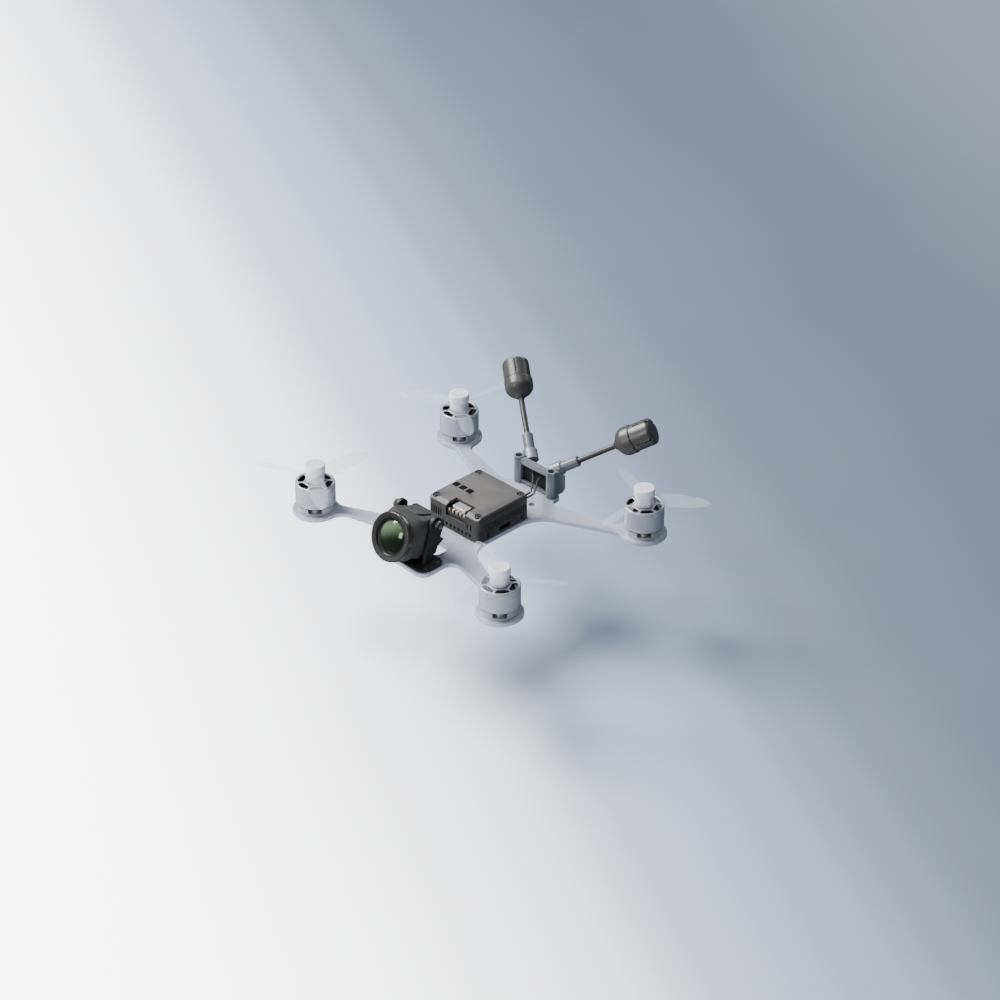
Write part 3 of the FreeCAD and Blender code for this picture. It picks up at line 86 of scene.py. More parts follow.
class Nodes:
    """A small helper that adds nodes to one material and links them."""

    def __init__(self, name):
        self.material = bpy.data.materials.new(name)
        self.material.use_nodes = True
        self.tree = self.material.node_tree
        self.shader = self.tree.nodes["Principled BSDF"]
        self.coords = self.add("ShaderNodeTexCoord").outputs["Object"]

    def add(self, kind, **settings):
        node = self.tree.nodes.new(kind)
        for key, value in settings.items():
            setattr(node, key, value)
        return node

    def link(self, source, target):
        self.tree.links.new(source, target)

    def noise(self, scale, detail=3.0, rough=0.5, coords=None):
        node = self.add("ShaderNodeTexNoise")
        node.inputs["Scale"].default_value = scale
        node.inputs["Detail"].default_value = detail
        node.inputs["Roughness"].default_value = rough
        self.link(coords or self.coords, node.inputs["Vector"])
        return node.outputs["Fac"]

    def ramp(self, factor, low, high):
        """A two-stop ramp over the noise's range, from colour low to colour high."""
        node = self.add("ShaderNodeValToRGB")
        stops = node.color_ramp.elements
        for stop, where, colour in zip(stops, (NOISE_LOW, NOISE_HIGH), (low, high)):
            stop.position = where
            stop.color = (*colour, 1.0)
        self.link(factor, node.inputs["Fac"])
        return node.outputs["Color"]

    def spread(self, factor, low, high):
        """Map the noise's range to low..high."""
        return self.map_range(factor, NOISE_LOW, NOISE_HIGH, low, high)

    def map_range(self, factor, start, end, low=0.0, high=1.0, **settings):
        node = self.add("ShaderNodeMapRange", **settings)
        node.inputs["From Min"].default_value = start
        node.inputs["From Max"].default_value = end
        node.inputs["To Min"].default_value = low
        node.inputs["To Max"].default_value = high
        self.link(factor, node.inputs["Value"])
        return node.outputs["Result"]

    def along(self, direction):
        """How far a point lies along a direction from the origin."""
        node = self.add("ShaderNodeVectorMath", operation="DOT_PRODUCT")
        self.link(self.coords, node.inputs[0])
        node.inputs[1].default_value = direction
        return node.outputs["Value"]

    def mix(self, factor, first, second):
        node = self.add("ShaderNodeMix", data_type="RGBA")
        self.link(factor, node.inputs["Factor"])
        for value, socket in ((first, node.inputs[6]), (second, node.inputs[7])):
            if isinstance(value, tuple):
                socket.default_value = (*value, 1.0)
            else:
                self.link(value, socket)
        return node.outputs[2]

    def bump(self, height, distance, strength=1.0, under=None):
        node = self.add("ShaderNodeBump")
        node.inputs["Distance"].default_value = distance
        node.inputs["Strength"].default_value = strength
        self.link(height, node.inputs["Height"])
        if under is not None:
            self.link(under, node.inputs["Normal"])
        return node.outputs["Normal"]


def tint(colour, amount):
    return tuple(min(1.0, max(0.0, channel * amount)) for channel in colour)


def surface(name, colour, rough=0.5, metal=0.0, vary=0.06, rough_vary=0.08, grain=2500.0, depth=0.00002,
            patch=90.0, coat=0.0, ior=1.5, wear=0.0, wear_colour=(0.5, 0.5, 0.5), specular_tint=None):
    """A moulded, painted or machined surface: blotchy colour, uneven gloss and a fine grain in the bump.

    patch and grain are the scales of the blotches and of the grain, and depth is the grain's height in metres.
    """
    n = Nodes(name)
    large = n.noise(patch, 4.0, 0.6)
    fine = n.noise(grain, 2.0, 0.6)
    base = n.ramp(large, tint(colour, 1.0 - vary), tint(colour, 1.0 + vary))
    speckled = n.mix(n.spread(fine, 0.0, 0.35), base, tint(colour, 1.0 - 2.0 * vary))
    if wear > 0.0:
        edges = n.add("ShaderNodeNewGeometry").outputs["Pointiness"]
        speckled = n.mix(n.map_range(edges, EDGE_START, EDGE_FULL, 0.0, wear), speckled, wear_colour)
    n.link(speckled, n.shader.inputs["Base Color"])
    n.link(n.spread(large, rough - rough_vary, rough + rough_vary), n.shader.inputs["Roughness"])
    n.link(n.bump(fine, depth), n.shader.inputs["Normal"])
    n.shader.inputs["Metallic"].default_value = metal
    n.shader.inputs["IOR"].default_value = ior
    n.shader.inputs["Coat Weight"].default_value = coat
    n.shader.inputs["Coat Roughness"].default_value = 0.12
    if specular_tint is not None:
        n.shader.inputs["Specular Tint"].default_value = (*specular_tint, 1.0)
    return n


def banded(name, colour, axis_scale, ring_depth=0.00003, **options):
    """A turned or laminated surface: fine rings along one axis over the usual grain."""
    n = surface(name, colour, **options)
    stretch = n.add("ShaderNodeMapping")
    stretch.inputs["Scale"].default_value = axis_scale
    n.link(n.coords, stretch.inputs["Vector"])
    rings = n.noise(1.0, 2.0, 0.5, stretch.outputs["Vector"])
    under = n.shader.inputs["Normal"].links[0].from_socket
    n.link(n.bump(rings, ring_depth, 0.6, under), n.shader.inputs["Normal"])
    return n


MATERIALS = {
    "frame": surface("frame_paint", (0.305, 0.320, 0.385), rough=0.36, vary=0.03, grain=1400, depth=0.000012,
                     coat=0.15, wear=0.5, wear_colour=(0.78, 0.80, 0.84)),
    "motor_can": banded("can_enamel", (0.415, 0.426, 0.478), (30, 30, 3600), 0.000003, rough=0.27, metal=0.36,
                        vary=0.02, rough_vary=0.015, patch=40.0, coat=0.3, depth=0.000002),
    "prop_cap": surface("cap_white", (0.64, 0.65, 0.685), rough=0.34, vary=0.02, rough_vary=0.03, grain=1800,
                        depth=0.000008),
    "motor_foot": surface("foot_alloy", (0.50, 0.52, 0.55), rough=0.38, metal=0.6, vary=0.05),
    "stator": banded("laminations", (0.030, 0.030, 0.033), (60, 60, 6000), rough=0.42, metal=0.3),
    # enamelled copper darkened well below its own colour: partly painted shade, so the windings read dark through
    # the can's openings
    "copper": banded("enamelled_wire_painted_shade", (0.060, 0.026, 0.013), (60, 60, 4200), rough=0.36, metal=0.5),
    "magnet": surface("nickel_magnet", (0.32, 0.32, 0.34), rough=0.25, metal=1.0),
    "steel": banded("turned_steel", (0.56, 0.57, 0.59), (40, 40, 4000), rough=0.24, metal=1.0),
    "screw": surface("black_oxide", (0.035, 0.035, 0.037), rough=0.36, metal=0.7, wear=0.4),
    "module_dark": surface("module_body", (0.020, 0.018, 0.017), vary=0.12, grain=5200, wear=0.35,
                           wear_colour=(0.085, 0.080, 0.075)),
    "module_cover": surface("module_lid", (0.056, 0.0530, 0.0515), rough=0.56, metal=0.08, grain=7500, wear=0.3,
                            wear_colour=(0.20, 0.19, 0.18)),
    "window_tile": surface("tile_gloss", (0.006, 0.006, 0.007), rough=0.12, rough_vary=0.03, depth=0.000002),
    "shield": banded("tinned_shield", (0.70, 0.69, 0.68), (2400, 60, 60), rough=0.30, metal=0.75),
    "connector_dark": surface("connector_body", (0.020, 0.020, 0.019), rough=0.48),
    "gold": surface("plated_contacts", (0.46, 0.41, 0.29), rough=0.30, metal=0.9),
    "port_metal": banded("port_shell", (0.20, 0.20, 0.21), (60, 3000, 60), rough=0.32, metal=1.0),
    "board": surface("solder_mask", (0.010, 0.035, 0.022), rough=0.30, vary=0.15, grain=3000, coat=0.4),
    "heat_spreader": surface("cast_spreader", (0.34, 0.34, 0.35), rough=0.45, metal=0.9),
    "rubber": surface("foot_rubber", (0.018, 0.018, 0.018), rough=0.78),
    "button": surface("button_cap", (0.050, 0.050, 0.052), rough=0.42),
    "camera_body": surface("camera_shell", (0.0345, 0.0333, 0.0325), ior=1.44, vary=0.10, grain=5200,
                           depth=0.000018),
    "lens_ring": banded("ring_anodised", (0.052, 0.049, 0.046), (50, 50, 50), rough=0.28, metal=0.5,
                        coat=0.3),
    "lens_barrel": surface("barrel_black", (0.006, 0.006, 0.006), rough=0.40, depth=0.000006),
    "knob": surface("knob_black", (0.010, 0.010, 0.010), rough=0.42, ior=1.4),
    "camera_mount": surface("mount_print", (0.0140, 0.0138, 0.0137), rough=0.60, grain=2600, depth=0.00003,
                            ior=1.38),
    "bracket": surface("bracket_grey", (0.195, 0.208, 0.232), rough=0.34, metal=0.45, vary=0.05, grain=3600,
                       depth=0.000015, wear=0.3, wear_colour=(0.45, 0.47, 0.50)),
    "sleeve": surface("sleeve_grey", (0.125, 0.134, 0.147), rough=0.36, metal=0.2, grain=2600),
    "antenna_rod": surface("rod_jacket", (0.034, 0.031, 0.029), rough=0.40, vary=0.12, grain=1500),
    "antenna_head": surface("head_graphite", (0.072, 0.0690, 0.0665), rough=0.35, vary=0.08, grain=3800,
                            depth=0.000012, metal=0.35),
    "coax": surface("coax_jacket", (0.055, 0.056, 0.058), rough=0.26, vary=0.10, coat=0.4),
    # near-black guard: a real part, also kept this dark as painted shade so the bracket's window reads shaded
    # inside
    "guard": surface("guard_rubber_painted_shade", (0.006, 0.006, 0.0065), rough=0.66, ior=1.35),
}
MATERIALS = {slot: nodes.material for slot, nodes in MATERIALS.items()}


def clear_blade():
    """Clear polycarbonate: thin, glossy and faintly smoky."""
    n = surface("clear_polycarbonate", (0.62, 0.66, 0.72), rough=0.16, rough_vary=0.05, vary=0.03, grain=900,
                depth=0.000004, coat=0.5, ior=1.58)
    n.shader.inputs["Alpha"].default_value = 0.15
    return n.material


def coated_glass():
    """Dark domed lens with a green-tinted coating and a painted green reflection, strongest towards one upper
    edge.
    """
    n = surface("coated_glass", (0.004, 0.007, 0.004), rough=0.07, rough_vary=0.015, vary=0.2, grain=400,
                depth=0.000001, ior=1.46, specular_tint=(0.55, 0.85, 0.55))
    # painted reflection: the base colour turns green towards one upper side, standing in for the sky reflected in
    # the coating
    centre = LENS_CENTRE.dot(GREEN_REFLECTION_SIDE)
    green = n.map_range(n.along(GREEN_REFLECTION_SIDE), centre - 2.0 * MM, centre + 7.0 * MM,
                        interpolation_type="SMOOTHSTEP")
    n.link(n.mix(green, (0.0045, 0.0065, 0.0035), (0.080, 0.124, 0.068)), n.shader.inputs["Base Color"])
    n.shader.inputs["Coat Weight"].default_value = 0.5
    n.shader.inputs["Coat Roughness"].default_value = 0.14
    return n.material


BLADE = clear_blade()
GLASS = coated_glass()


# ---------------------------------------------------------------- mesh tools

ON_AXIS = 1e-7  # metres; a smaller radius is a point on the axis
WELD = 2e-6  # metres; vertices of a CAD mesh that are closer are one
FLAT_DEG = 0.8  # faces that meet at less than this are one flat face
BEVEL_DEG = 35.0  # edges sharper than this are softened

def object_from(bm, name, materials, sharp=32.0):
    """An object from a bmesh, smooth except across edges sharper than the angle."""
    bmesh.ops.recalc_face_normals(bm, faces=bm.faces)
    limit = math.radians(sharp)
    for face in bm.faces:
        face.smooth = True
    for edge in bm.edges:
        edge.smooth = len(edge.link_faces) == 2 and edge.calc_face_angle(0.0) < limit
    mesh = bpy.data.meshes.new(name)
    bm.to_mesh(mesh)
    bm.free()
    for material in materials:
        mesh.materials.append(material)
    obj = bpy.data.objects.new(name, mesh)
    bpy.context.scene.collection.objects.link(obj)
    return obj


def skin(bm, rings, slot_index=0):
    """Faces between neighbouring rings of vertices; a ring of one vertex closes that end."""
    for low, high in zip(rings, rings[1:]):
        count = max(len(low), len(high))
        for k in range(count):
            after = (k + 1) % count
            if len(low) == 1:
                corners = (low[0], high[after], high[k])
            elif len(high) == 1:
                corners = (low[k], low[after], high[0])
            else:
                corners = (low[k], low[after], high[after], high[k])
            bm.faces.new(corners).material_index = slot_index


def lathe(profile, segments=96, bm=None, matrix=Matrix(), slot_index=0):
    """Turn a profile of (radius, height) points about Z; points on the axis close the end."""
    bm = bm or bmesh.new()
    rings = []
    for radius, height in profile:
        turns = [math.tau * k / segments for k in range(segments)] if radius > ON_AXIS else [0.0]
        rings.append([bm.verts.new(matrix @ Vector((radius * math.cos(turn), radius * math.sin(turn), height)))
                      for turn in turns])
    skin(bm, rings, slot_index)
    return bm


def rounded_profile(points, radius, steps=4):
    """Round the inner corners of an open (r, z) profile with short arcs."""
    result = [points[0]]
    for before, corner, after in zip(points, points[1:], points[2:]):
        p, c, q = Vector(before), Vector(corner), Vector(after)
        reach = min(radius, 0.45 * (c - p).length, 0.45 * (q - c).length)
        start = c + (p - c).normalized() * reach
        end = c + (q - c).normalized() * reach
        for k in range(steps + 1):
            t = k / steps
            result.append(tuple(start * (1 - t) ** 2 + c * 2 * t * (1 - t) + end * t ** 2))
    result.append(points[-1])
    return result


def millimetres(points):
    """Points of two coordinates, from millimetres to metres."""
    return [(first * MM, second * MM) for first, second in points]


def slab(loops, low, high, bevel, bevel_steps=2):
    """A plate between two heights from outlines; later loops are holes. Returns a mesh."""
    curve = bpy.data.curves.new("slab", "CURVE")
    curve.dimensions = "2D"
    curve.fill_mode = "BOTH"
    curve.extrude = (high - low) / 2 - bevel
    curve.bevel_depth = bevel
    curve.bevel_resolution = bevel_steps
    curve.offset = -bevel
    for loop in loops:
        spline = curve.splines.new("POLY")
        spline.points.add(len(loop) - 1)
        for point, (x, y) in zip(spline.points, loop):
            point.co = (x, y, 0.0, 1.0)
        spline.use_cyclic_u = True
    holder = bpy.data.objects.new("slab", curve)
    mesh = bpy.data.meshes.new_from_object(holder)
    mesh.transform(Matrix.Translation((0, 0, (low + high) / 2)))
    bpy.data.objects.remove(holder)
    bpy.data.curves.remove(curve)
    return mesh


def merge_mesh(bm, mesh, matrix=Matrix(), slot_index=0):
    """Add a mesh to a bmesh and throw the mesh away."""
    mesh.transform(matrix)
    first = len(bm.faces)
    bm.from_mesh(mesh)
    bm.faces.ensure_lookup_table()
    for index in range(first, len(bm.faces)):
        bm.faces[index].material_index = slot_index
    bpy.data.meshes.remove(mesh)


def circle(radius, count):
    return [(radius * math.cos(math.tau * k / count), radius * math.sin(math.tau * k / count))
            for k in range(count)]


def superellipse(t, power):
    """A point of the unit superellipse at angle t."""
    c, s = math.cos(t), math.sin(t)
    return math.copysign(abs(c) ** (2 / power), c), math.copysign(abs(s) ** (2 / power), s)


def refined(node, width):
    """A bevelled copy of a CAD node's mesh that stands for it: crisp moulded edges that catch the light."""
    bm = bmesh.new()
    bm.from_mesh(frame["nodes"][node].data)
    bmesh.ops.remove_doubles(bm, verts=bm.verts, dist=WELD)
    bmesh.ops.dissolve_limit(bm, angle_limit=math.radians(FLAT_DEG), verts=bm.verts, edges=bm.edges)
    obj = object_from(bm, node + "_shell", [], 30.0)
    bevel = obj.modifiers.new("edges", "BEVEL")
    bevel.width = width
    bevel.segments = 2
    bevel.limit_method = "ANGLE"
    bevel.angle_limit = math.radians(BEVEL_DEG)
    bevel.use_clamp_overlap = True
    bevel.harden_normals = True
    return obj


def place(obj, body, material_slot, *nodes):
    """Attach a finished piece to its body and hide the CAD nodes it stands for."""
    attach(obj, body)
    if nodes:
        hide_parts(*nodes)


# ---------------------------------------------------------------- camera and light

VIEW_AZIMUTH, VIEW_ELEVATION, VIEW_DISTANCE = 45.17, 31.95, 1.5
VIEW_TARGET = Vector((0.0019, 0.01227, 0.008))


def look_from(azimuth, elevation):
    """Unit vector towards a viewer; azimuth 0 is in front of the nose and turns towards the drone's left."""
    a, e = math.radians(azimuth), math.radians(elevation)
    return Vector((math.sin(a) * math.cos(e), -math.cos(a) * math.cos(e), math.sin(e)))


def aim(obj, back):
    """Turn an object so that it looks against the given direction."""
    obj.rotation_mode = "QUATERNION"
    obj.rotation_quaternion = (-back).to_track_quat("-Z", "Y")


def make_camera():
    data = bpy.data.cameras.new("camera")
    data.sensor_width = 36.0
    data.lens = 113.94
    data.clip_start = 0.05
    data.clip_end = 50.0
    camera = bpy.data.objects.new("camera", data)
    back = look_from(VIEW_AZIMUTH, VIEW_ELEVATION)
    camera.location = VIEW_TARGET + back * VIEW_DISTANCE
    aim(camera, back)
    bpy.context.scene.collection.objects.link(camera)
    bpy.context.scene.camera = camera


def area_light(name, azimuth, elevation, distance, size, power, colour):
    data = bpy.data.lights.new(name, "AREA")
    data.shape = "RECTANGLE"
    data.size, data.size_y = size
    data.energy = power
    data.color = colour
    light = bpy.data.objects.new(name, data)
    back = look_from(azimuth, elevation)
    light.location = back * distance
    aim(light, back)
    bpy.context.scene.collection.objects.link(light)


def make_light():
    area_light("key", -75.0, 50.0, 1.6, (0.92, 0.82), 75.0, (1.0, 0.992, 0.984))
    area_light("top", 60.0, 80.0, 1.5, (0.9, 0.9), 4.0, (0.90, 0.94, 1.0))
    area_light("rim", 190.0, 28.0, 1.7, (1.0, 0.5), 9.0, (0.84, 0.91, 1.0))
    area_light("front", 4.0, 26.0, 1.5, (0.26, 0.46), 6.0, (1.0, 0.99, 0.97))
    world = bpy.data.worlds.new("studio")
    world.use_nodes = True
    background = world.node_tree.nodes["Background"]
    background.inputs["Color"].default_value = (0.56, 0.66, 0.82, 1.0)
    background.inputs["Strength"].default_value = 0.16
    bpy.context.scene.world = world


FLOOR_Z = -0.055
ACROSS = (0.45685, 0.95575, 0.0)  # the direction in which the painted light on the floor fades into painted shade
# metres along that direction, colour; the colours paint light on one side and a broad painted shadow band towards
# the other
FLOOR_PAINTED_LIGHT = ((-0.200, (0.91, 0.925, 0.955)), (-0.040, (0.85, 0.87, 0.93)), (0.010, (0.50, 0.54, 0.69)),
               (0.076, (0.31, 0.36, 0.50)), (0.113, (0.21, 0.24, 0.345)), (0.150, (0.15, 0.17, 0.25)),
               (0.208, (0.108, 0.127, 0.19)), (0.343, (0.085, 0.10, 0.152)), (0.600, (0.165, 0.187, 0.25)))


def make_floor():
    """A pale floor below the hovering drone, with painted light and shade: near white on one side, bluish grey
    towards the other, and a glowing painted pool of light on the white side.
    """
    n = Nodes("studio_floor")
    across = n.along(ACROSS)
    start, end = FLOOR_PAINTED_LIGHT[0][0], FLOOR_PAINTED_LIGHT[-1][0]
    # painted light and shade: this colour ramp stands in for light falling off across the floor
    painted_light_ramp = n.add("ShaderNodeValToRGB")
    painted_light_ramp.color_ramp.interpolation = "EASE"
    stops = painted_light_ramp.color_ramp.elements
    while len(stops) < len(FLOOR_PAINTED_LIGHT):
        stops.new(1.0)
    for stop, (where, colour) in zip(stops, FLOOR_PAINTED_LIGHT):
        stop.position = (where - start) / (end - start)
        stop.color = (*colour, 1.0)
    n.link(n.map_range(across, start, end), painted_light_ramp.inputs["Fac"])
    mottled = n.mix(n.spread(n.noise(6.0, 3.0), 0.0, 0.05), painted_light_ramp.outputs["Color"], (0.30, 0.33, 0.40))
    n.link(mottled, n.shader.inputs["Base Color"])
    n.shader.inputs["Roughness"].default_value = 0.6
    # painted light: the floor itself glows on its pale side, a pool of light without a lamp
    painted_light_pool = n.map_range(across, 0.02, -0.26, 0.0, 4.5, interpolation_type="SMOOTHSTEP")
    n.link(painted_light_pool, n.shader.inputs["Emission Strength"])
    n.shader.inputs["Emission Color"].default_value = (0.97, 0.98, 1.0, 1.0)
    bm = bmesh.new()
    bmesh.ops.create_grid(bm, x_segments=1, y_segments=1, size=12.0)
    floor = object_from(bm, "floor", [n.material])
    floor.location.z = FLOOR_Z
    floor.visible_glossy = False


make_camera()
make_light()
make_floor()


# ---------------------------------------------------------------- CAD nodes that keep their shape

def slot_of(node):
    return next(row["material_slot"] for row in frame["record"]["subparts"] if row["node"] == node)


for node_name, node_object in frame["nodes"].items():
    node_slot = slot_of(node_name)
    chosen = MATERIALS.get(node_slot, BLADE if node_slot == "propeller" else GLASS)
    node_object.data.materials.clear()
    node_object.data.materials.append(chosen)


def body_of_node(node):
    return next(name for name, nodes in frame["record"]["behaviour"]["bodies"].items() if node in nodes)


def finish_node(node, width):
    """Show a node as a copy of its own shape with softened edges."""
    piece = refined(node, width)
    piece.data.materials.append(MATERIALS[slot_of(node)])
    place(piece, body_of_node(node), slot_of(node), node)
    return piece


# bevel widths in millimetres
SOFTENED = {"frame_plate": 0.25, "module_housing": 0.10, "module_cover": 0.14, "module_windows": 0.05,
            "connector_shield": 0.12, "connector_header": 0.10, "connector_pins": 0.12, "usb_port": 0.05,
            "camera_rear_cover": 0.25, "camera_mount": 0.15, "antenna_bracket": 0.16, "cable_guard": 0.10,
            "antenna_sleeves": 0.10, "link_button": 0.08, "module_pads": 0.06, "cover_screws": 0.06}
SOFTENED.update({"motor_base_" + corner: 0.10 for corner in CORNERS})
finished = {node_name: finish_node(node_name, width * MM) for node_name, width in SOFTENED.items()}


def add_arcs(cover):
    """A low moulded arc on the cover beside each screw recess, on the side of the module's centre."""
    low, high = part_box("cover_screws")
    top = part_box("module_cover")[1].z
    bm = bmesh.new()
    bm.from_mesh(cover.data)
    radius, head = 2.35 * MM, 1.2 * MM
    half_width, height, sunk = 0.22 * MM, 0.17 * MM, 0.02 * MM
    for x, x_side in ((low.x + head, 1), (high.x - head, -1)):
        for y, y_side in ((low.y + head, 1), (high.y - head, -1)):
            middle_turn = math.atan2(y_side, x_side)
            rings = []
            for k in range(25):
                turn = middle_turn + math.radians(62.0) * (k / 12 - 1)
                fade = math.sqrt(max(0.0, 1.0 - abs(k / 12 - 1) ** 6))
                ring = []
                for step in range(7):
                    around = math.pi * step / 6
                    reach = radius + half_width * math.cos(around)
                    rise = height * math.sin(around) * fade - sunk
                    ring.append(bm.verts.new((x + reach * math.cos(turn), y + reach * math.sin(turn),
                                              top + rise)))
                rings.append(ring)
            for before, after in zip(rings, rings[1:]):
                for step in range(6):
                    face = bm.faces.new((before[step], before[step + 1], after[step + 1], after[step]))
                    face.smooth = True
    bm.to_mesh(cover.data)
    bm.free()


add_arcs(finished["module_cover"])


# ---------------------------------------------------------------- motors

# painted shade: the inside of the can is near black so its openings read as shaded
CAN_INSIDE_SHADE = surface("can_inside_painted_shade", (0.012, 0.012, 0.013), rough=0.46, metal=0.3).material


def opening(centre, inner, outer, spoke, count=40):
    """One rounded opening of the can's roof between two spokes, as an outline in millimetres."""
    mid, half = (inner + outer) / 2, (outer - inner) / 2
    loop = []
    for k in range(count):
        u, v = superellipse(math.tau * k / count, 3.6)
        radius = mid + half * v
        reach = math.radians(30.0) - math.asin(spoke / 2 / radius)
        angle = centre + reach * u
        loop.append((radius * math.cos(angle), radius * math.sin(angle)))
    return loop


def make_bell(corner):
    """Enamelled can: rolled lower lip, raised rim, six rounded openings between thin spokes."""
    low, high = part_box("bell_" + corner)
    radius = (high.x - low.x) / 2 / MM
    bottom, top = low.z / MM, high.z / MM
    outer = [(radius - 0.60, bottom + 0.05), (radius - 0.30, bottom), (radius, bottom + 0.22),
             (radius, bottom + 1.1), (radius - 0.07, bottom + 1.2), (radius - 0.07, bottom + 1.35),
             (radius, bottom + 1.45), (radius, top - 0.55), (radius - 0.5, top), (radius - 0.95, top),
             (radius - 1.15, top - 0.22)]
    bm = lathe(millimetres(rounded_profile(outer, 0.35)), 128)
    inner = [(radius - 1.15, top - 1.2), (radius - 0.62, top - 1.45), (radius - 0.62, bottom + 0.05)]
    lathe(millimetres(inner), 128, bm, slot_index=1)
    start = math.radians(-6.0)
    holes = [opening(start + math.radians(60 * k + 30), 5.25, 8.45, 1.15) for k in range(6)]
    loops = [millimetres(loop) for loop in [circle(radius - 1.0, 128)] + holes]
    roof = slab(loops, (top - 0.80) * MM, (top - 0.18) * MM, 0.20 * MM)
    merge_mesh(bm, roof)
    boss = [(2.4, top - 1.3), (2.4, top - 2.0), (1.05, top - 2.1)]
    lathe(millimetres(boss), 48, bm, slot_index=1)
    piece = object_from(bm, "can_" + corner, [MATERIALS["motor_can"], CAN_INSIDE_SHADE], 40.0)
    piece.location = motor_axis(corner)
    place(piece, "rotor_" + corner, "motor_can", "bell_" + corner)


CAP_TALL = 4.0  # millimetres of the cap above the propeller's hub


def make_cap(corner):
    """Plain cap with a soft edge and a fine parting groove above the propeller hub."""
    low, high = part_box("prop_cap_" + corner)
    radius = (high.x - low.x) / 2 / MM
    bottom, top = (high.z - CAP_TALL * MM) / MM, high.z / MM
    profile = [(0.0, bottom), (radius - 0.35, bottom), (radius, bottom + 0.3), (radius, top - 0.35),
               (radius - 0.45, top), (radius - 1.2, top), (0.0, top - 0.06)]
    bm = lathe(millimetres(rounded_profile(profile, 0.3)), 96)
    piece = object_from(bm, "cap_" + corner, [MATERIALS["prop_cap"]], 50.0)
    piece.location = motor_axis(corner)
    place(piece, "rotor_" + corner, "prop_cap", "prop_cap_" + corner)


# share of the tip radius, chord in millimetres, pitch in degrees, thickness in millimetres
BLADE_SHAPE = ((0.10, 5.0, 30.0, 1.6), (0.25, 7.0, 26.0, 1.3), (0.5, 8.4, 18.0, 1.0), (0.8, 6.6, 13.0, 0.8),
               (0.985, 3.2, 10.0, 0.6))
BLADE_ROOT, BLADE_END, TIP_ROUNDING = 0.11, 0.995, 0.10
TIP_R, HUB_TALL, BLADE_HEIGHT = 31.5, 5.2, 3.3  # millimetres; blades stand this high over the hub's foot


def blade_at(share):
    """Chord, pitch and thickness at a share of the tip radius, smoothly between the listed stations."""
    for before, after in zip(BLADE_SHAPE, BLADE_SHAPE[1:]):
        if share <= after[0]:
            break
    t = min(1.0, max(0.0, (share - before[0]) / (after[0] - before[0])))
    t = t * t * (3 - 2 * t) * 0.4 + t * 0.6
    return [a + (b - a) * t for a, b in zip(before[1:], after[1:])]


def add_blade(bm, turn, hand, height):
    """One twisted blade with a rounded tip."""
    steps, around = 40, 24
    rings = []
    for i in range(steps + 1):
        share = BLADE_ROOT + (BLADE_END - BLADE_ROOT) * i / steps
        chord, pitch, thick = blade_at(share)
        close = max(0.0, (share - (1.0 - TIP_ROUNDING)) / TIP_ROUNDING)
        chord *= math.sqrt(max(0.02, 1.0 - close * close))
        thick *= math.sqrt(max(0.05, 1.0 - close * close))
        swing = math.radians(pitch * hand)
        ring = []
        for k in range(around):
            angle = math.tau * k / around
            along = chord / 2 * math.cos(angle)
            camber = 0.10 * thick * (1 - (2 * along / max(chord, 0.01)) ** 2)
            up = thick * 0.48 * math.sin(angle) * (1 - 0.35 * math.cos(angle)) + camber
            point = Vector((share * TIP_R, along * math.cos(swing) - up * math.sin(swing),
                            along * math.sin(swing) + up * math.cos(swing) + height))
            ring.append(bm.verts.new(Matrix.Rotation(turn, 4, "Z") @ point * MM))
        rings.append(ring)
    skin(bm, rings)
    bm.faces.new(rings[-1])
    bm.faces.new(reversed(rings[0]))


def make_propeller(corner):
    """Three clear blades on a satin white hub."""
    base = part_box("prop_cap_" + corner)[0].z / MM - HUB_TALL
    bm = bmesh.new()
    for k in range(3):
        add_blade(bm, math.radians(120 * k + 35 * SIDE[corner]), HAND[corner], base + BLADE_HEIGHT)
    hub = [(0.0, base), (4.15, base), (4.45, base + 0.3), (4.45, base + HUB_TALL - 0.4),
           (4.2, base + HUB_TALL - 0.05), (0.0, base + HUB_TALL - 0.05)]
    lathe(millimetres(rounded_profile(hub, 0.25)), 72, bm, slot_index=1)
    piece = object_from(bm, "blades_" + corner, [BLADE, MATERIALS["prop_cap"]], 50.0)
    piece.location = motor_axis(corner)
    place(piece, "rotor_" + corner, "propeller", "propeller_" + corner)


for corner_name in CORNERS:
    make_bell(corner_name)
    make_cap(corner_name)
    make_propeller(corner_name)


# ---------------------------------------------------------------- camera

# millimetres behind the tilt axis, half width, reach above and below the lens axis, squareness
HOUSING = ((-12.6, 11.25, 11.25, 11.25, 2.0), (-12.2, 11.45, 11.45, 11.3, 2.05),
           (-11.0, 11.55, 11.8, 11.1, 2.4), (-9.6, 11.6, 12.2, 10.2, 3.1), (-8.2, 11.6, 12.4, 8.6, 4.0),
           (-7.0, 11.6, 12.5, 8.0, 4.8), (-5.4, 11.6, 12.5, 7.95, 5.2), (-4.2, 11.6, 12.5, 7.9, 5.4),
           (-3.9, 11.4, 12.4, 7.7, 5.4), (-3.9, 10.3, 12.3, 6.8, 6.0), (-3.0, 10.3, 12.5, 6.8, 6.0),
           (5.3, 10.3, 12.5, 6.8, 6.0), (5.5, 10.15, 12.35, 6.65, 6.0))
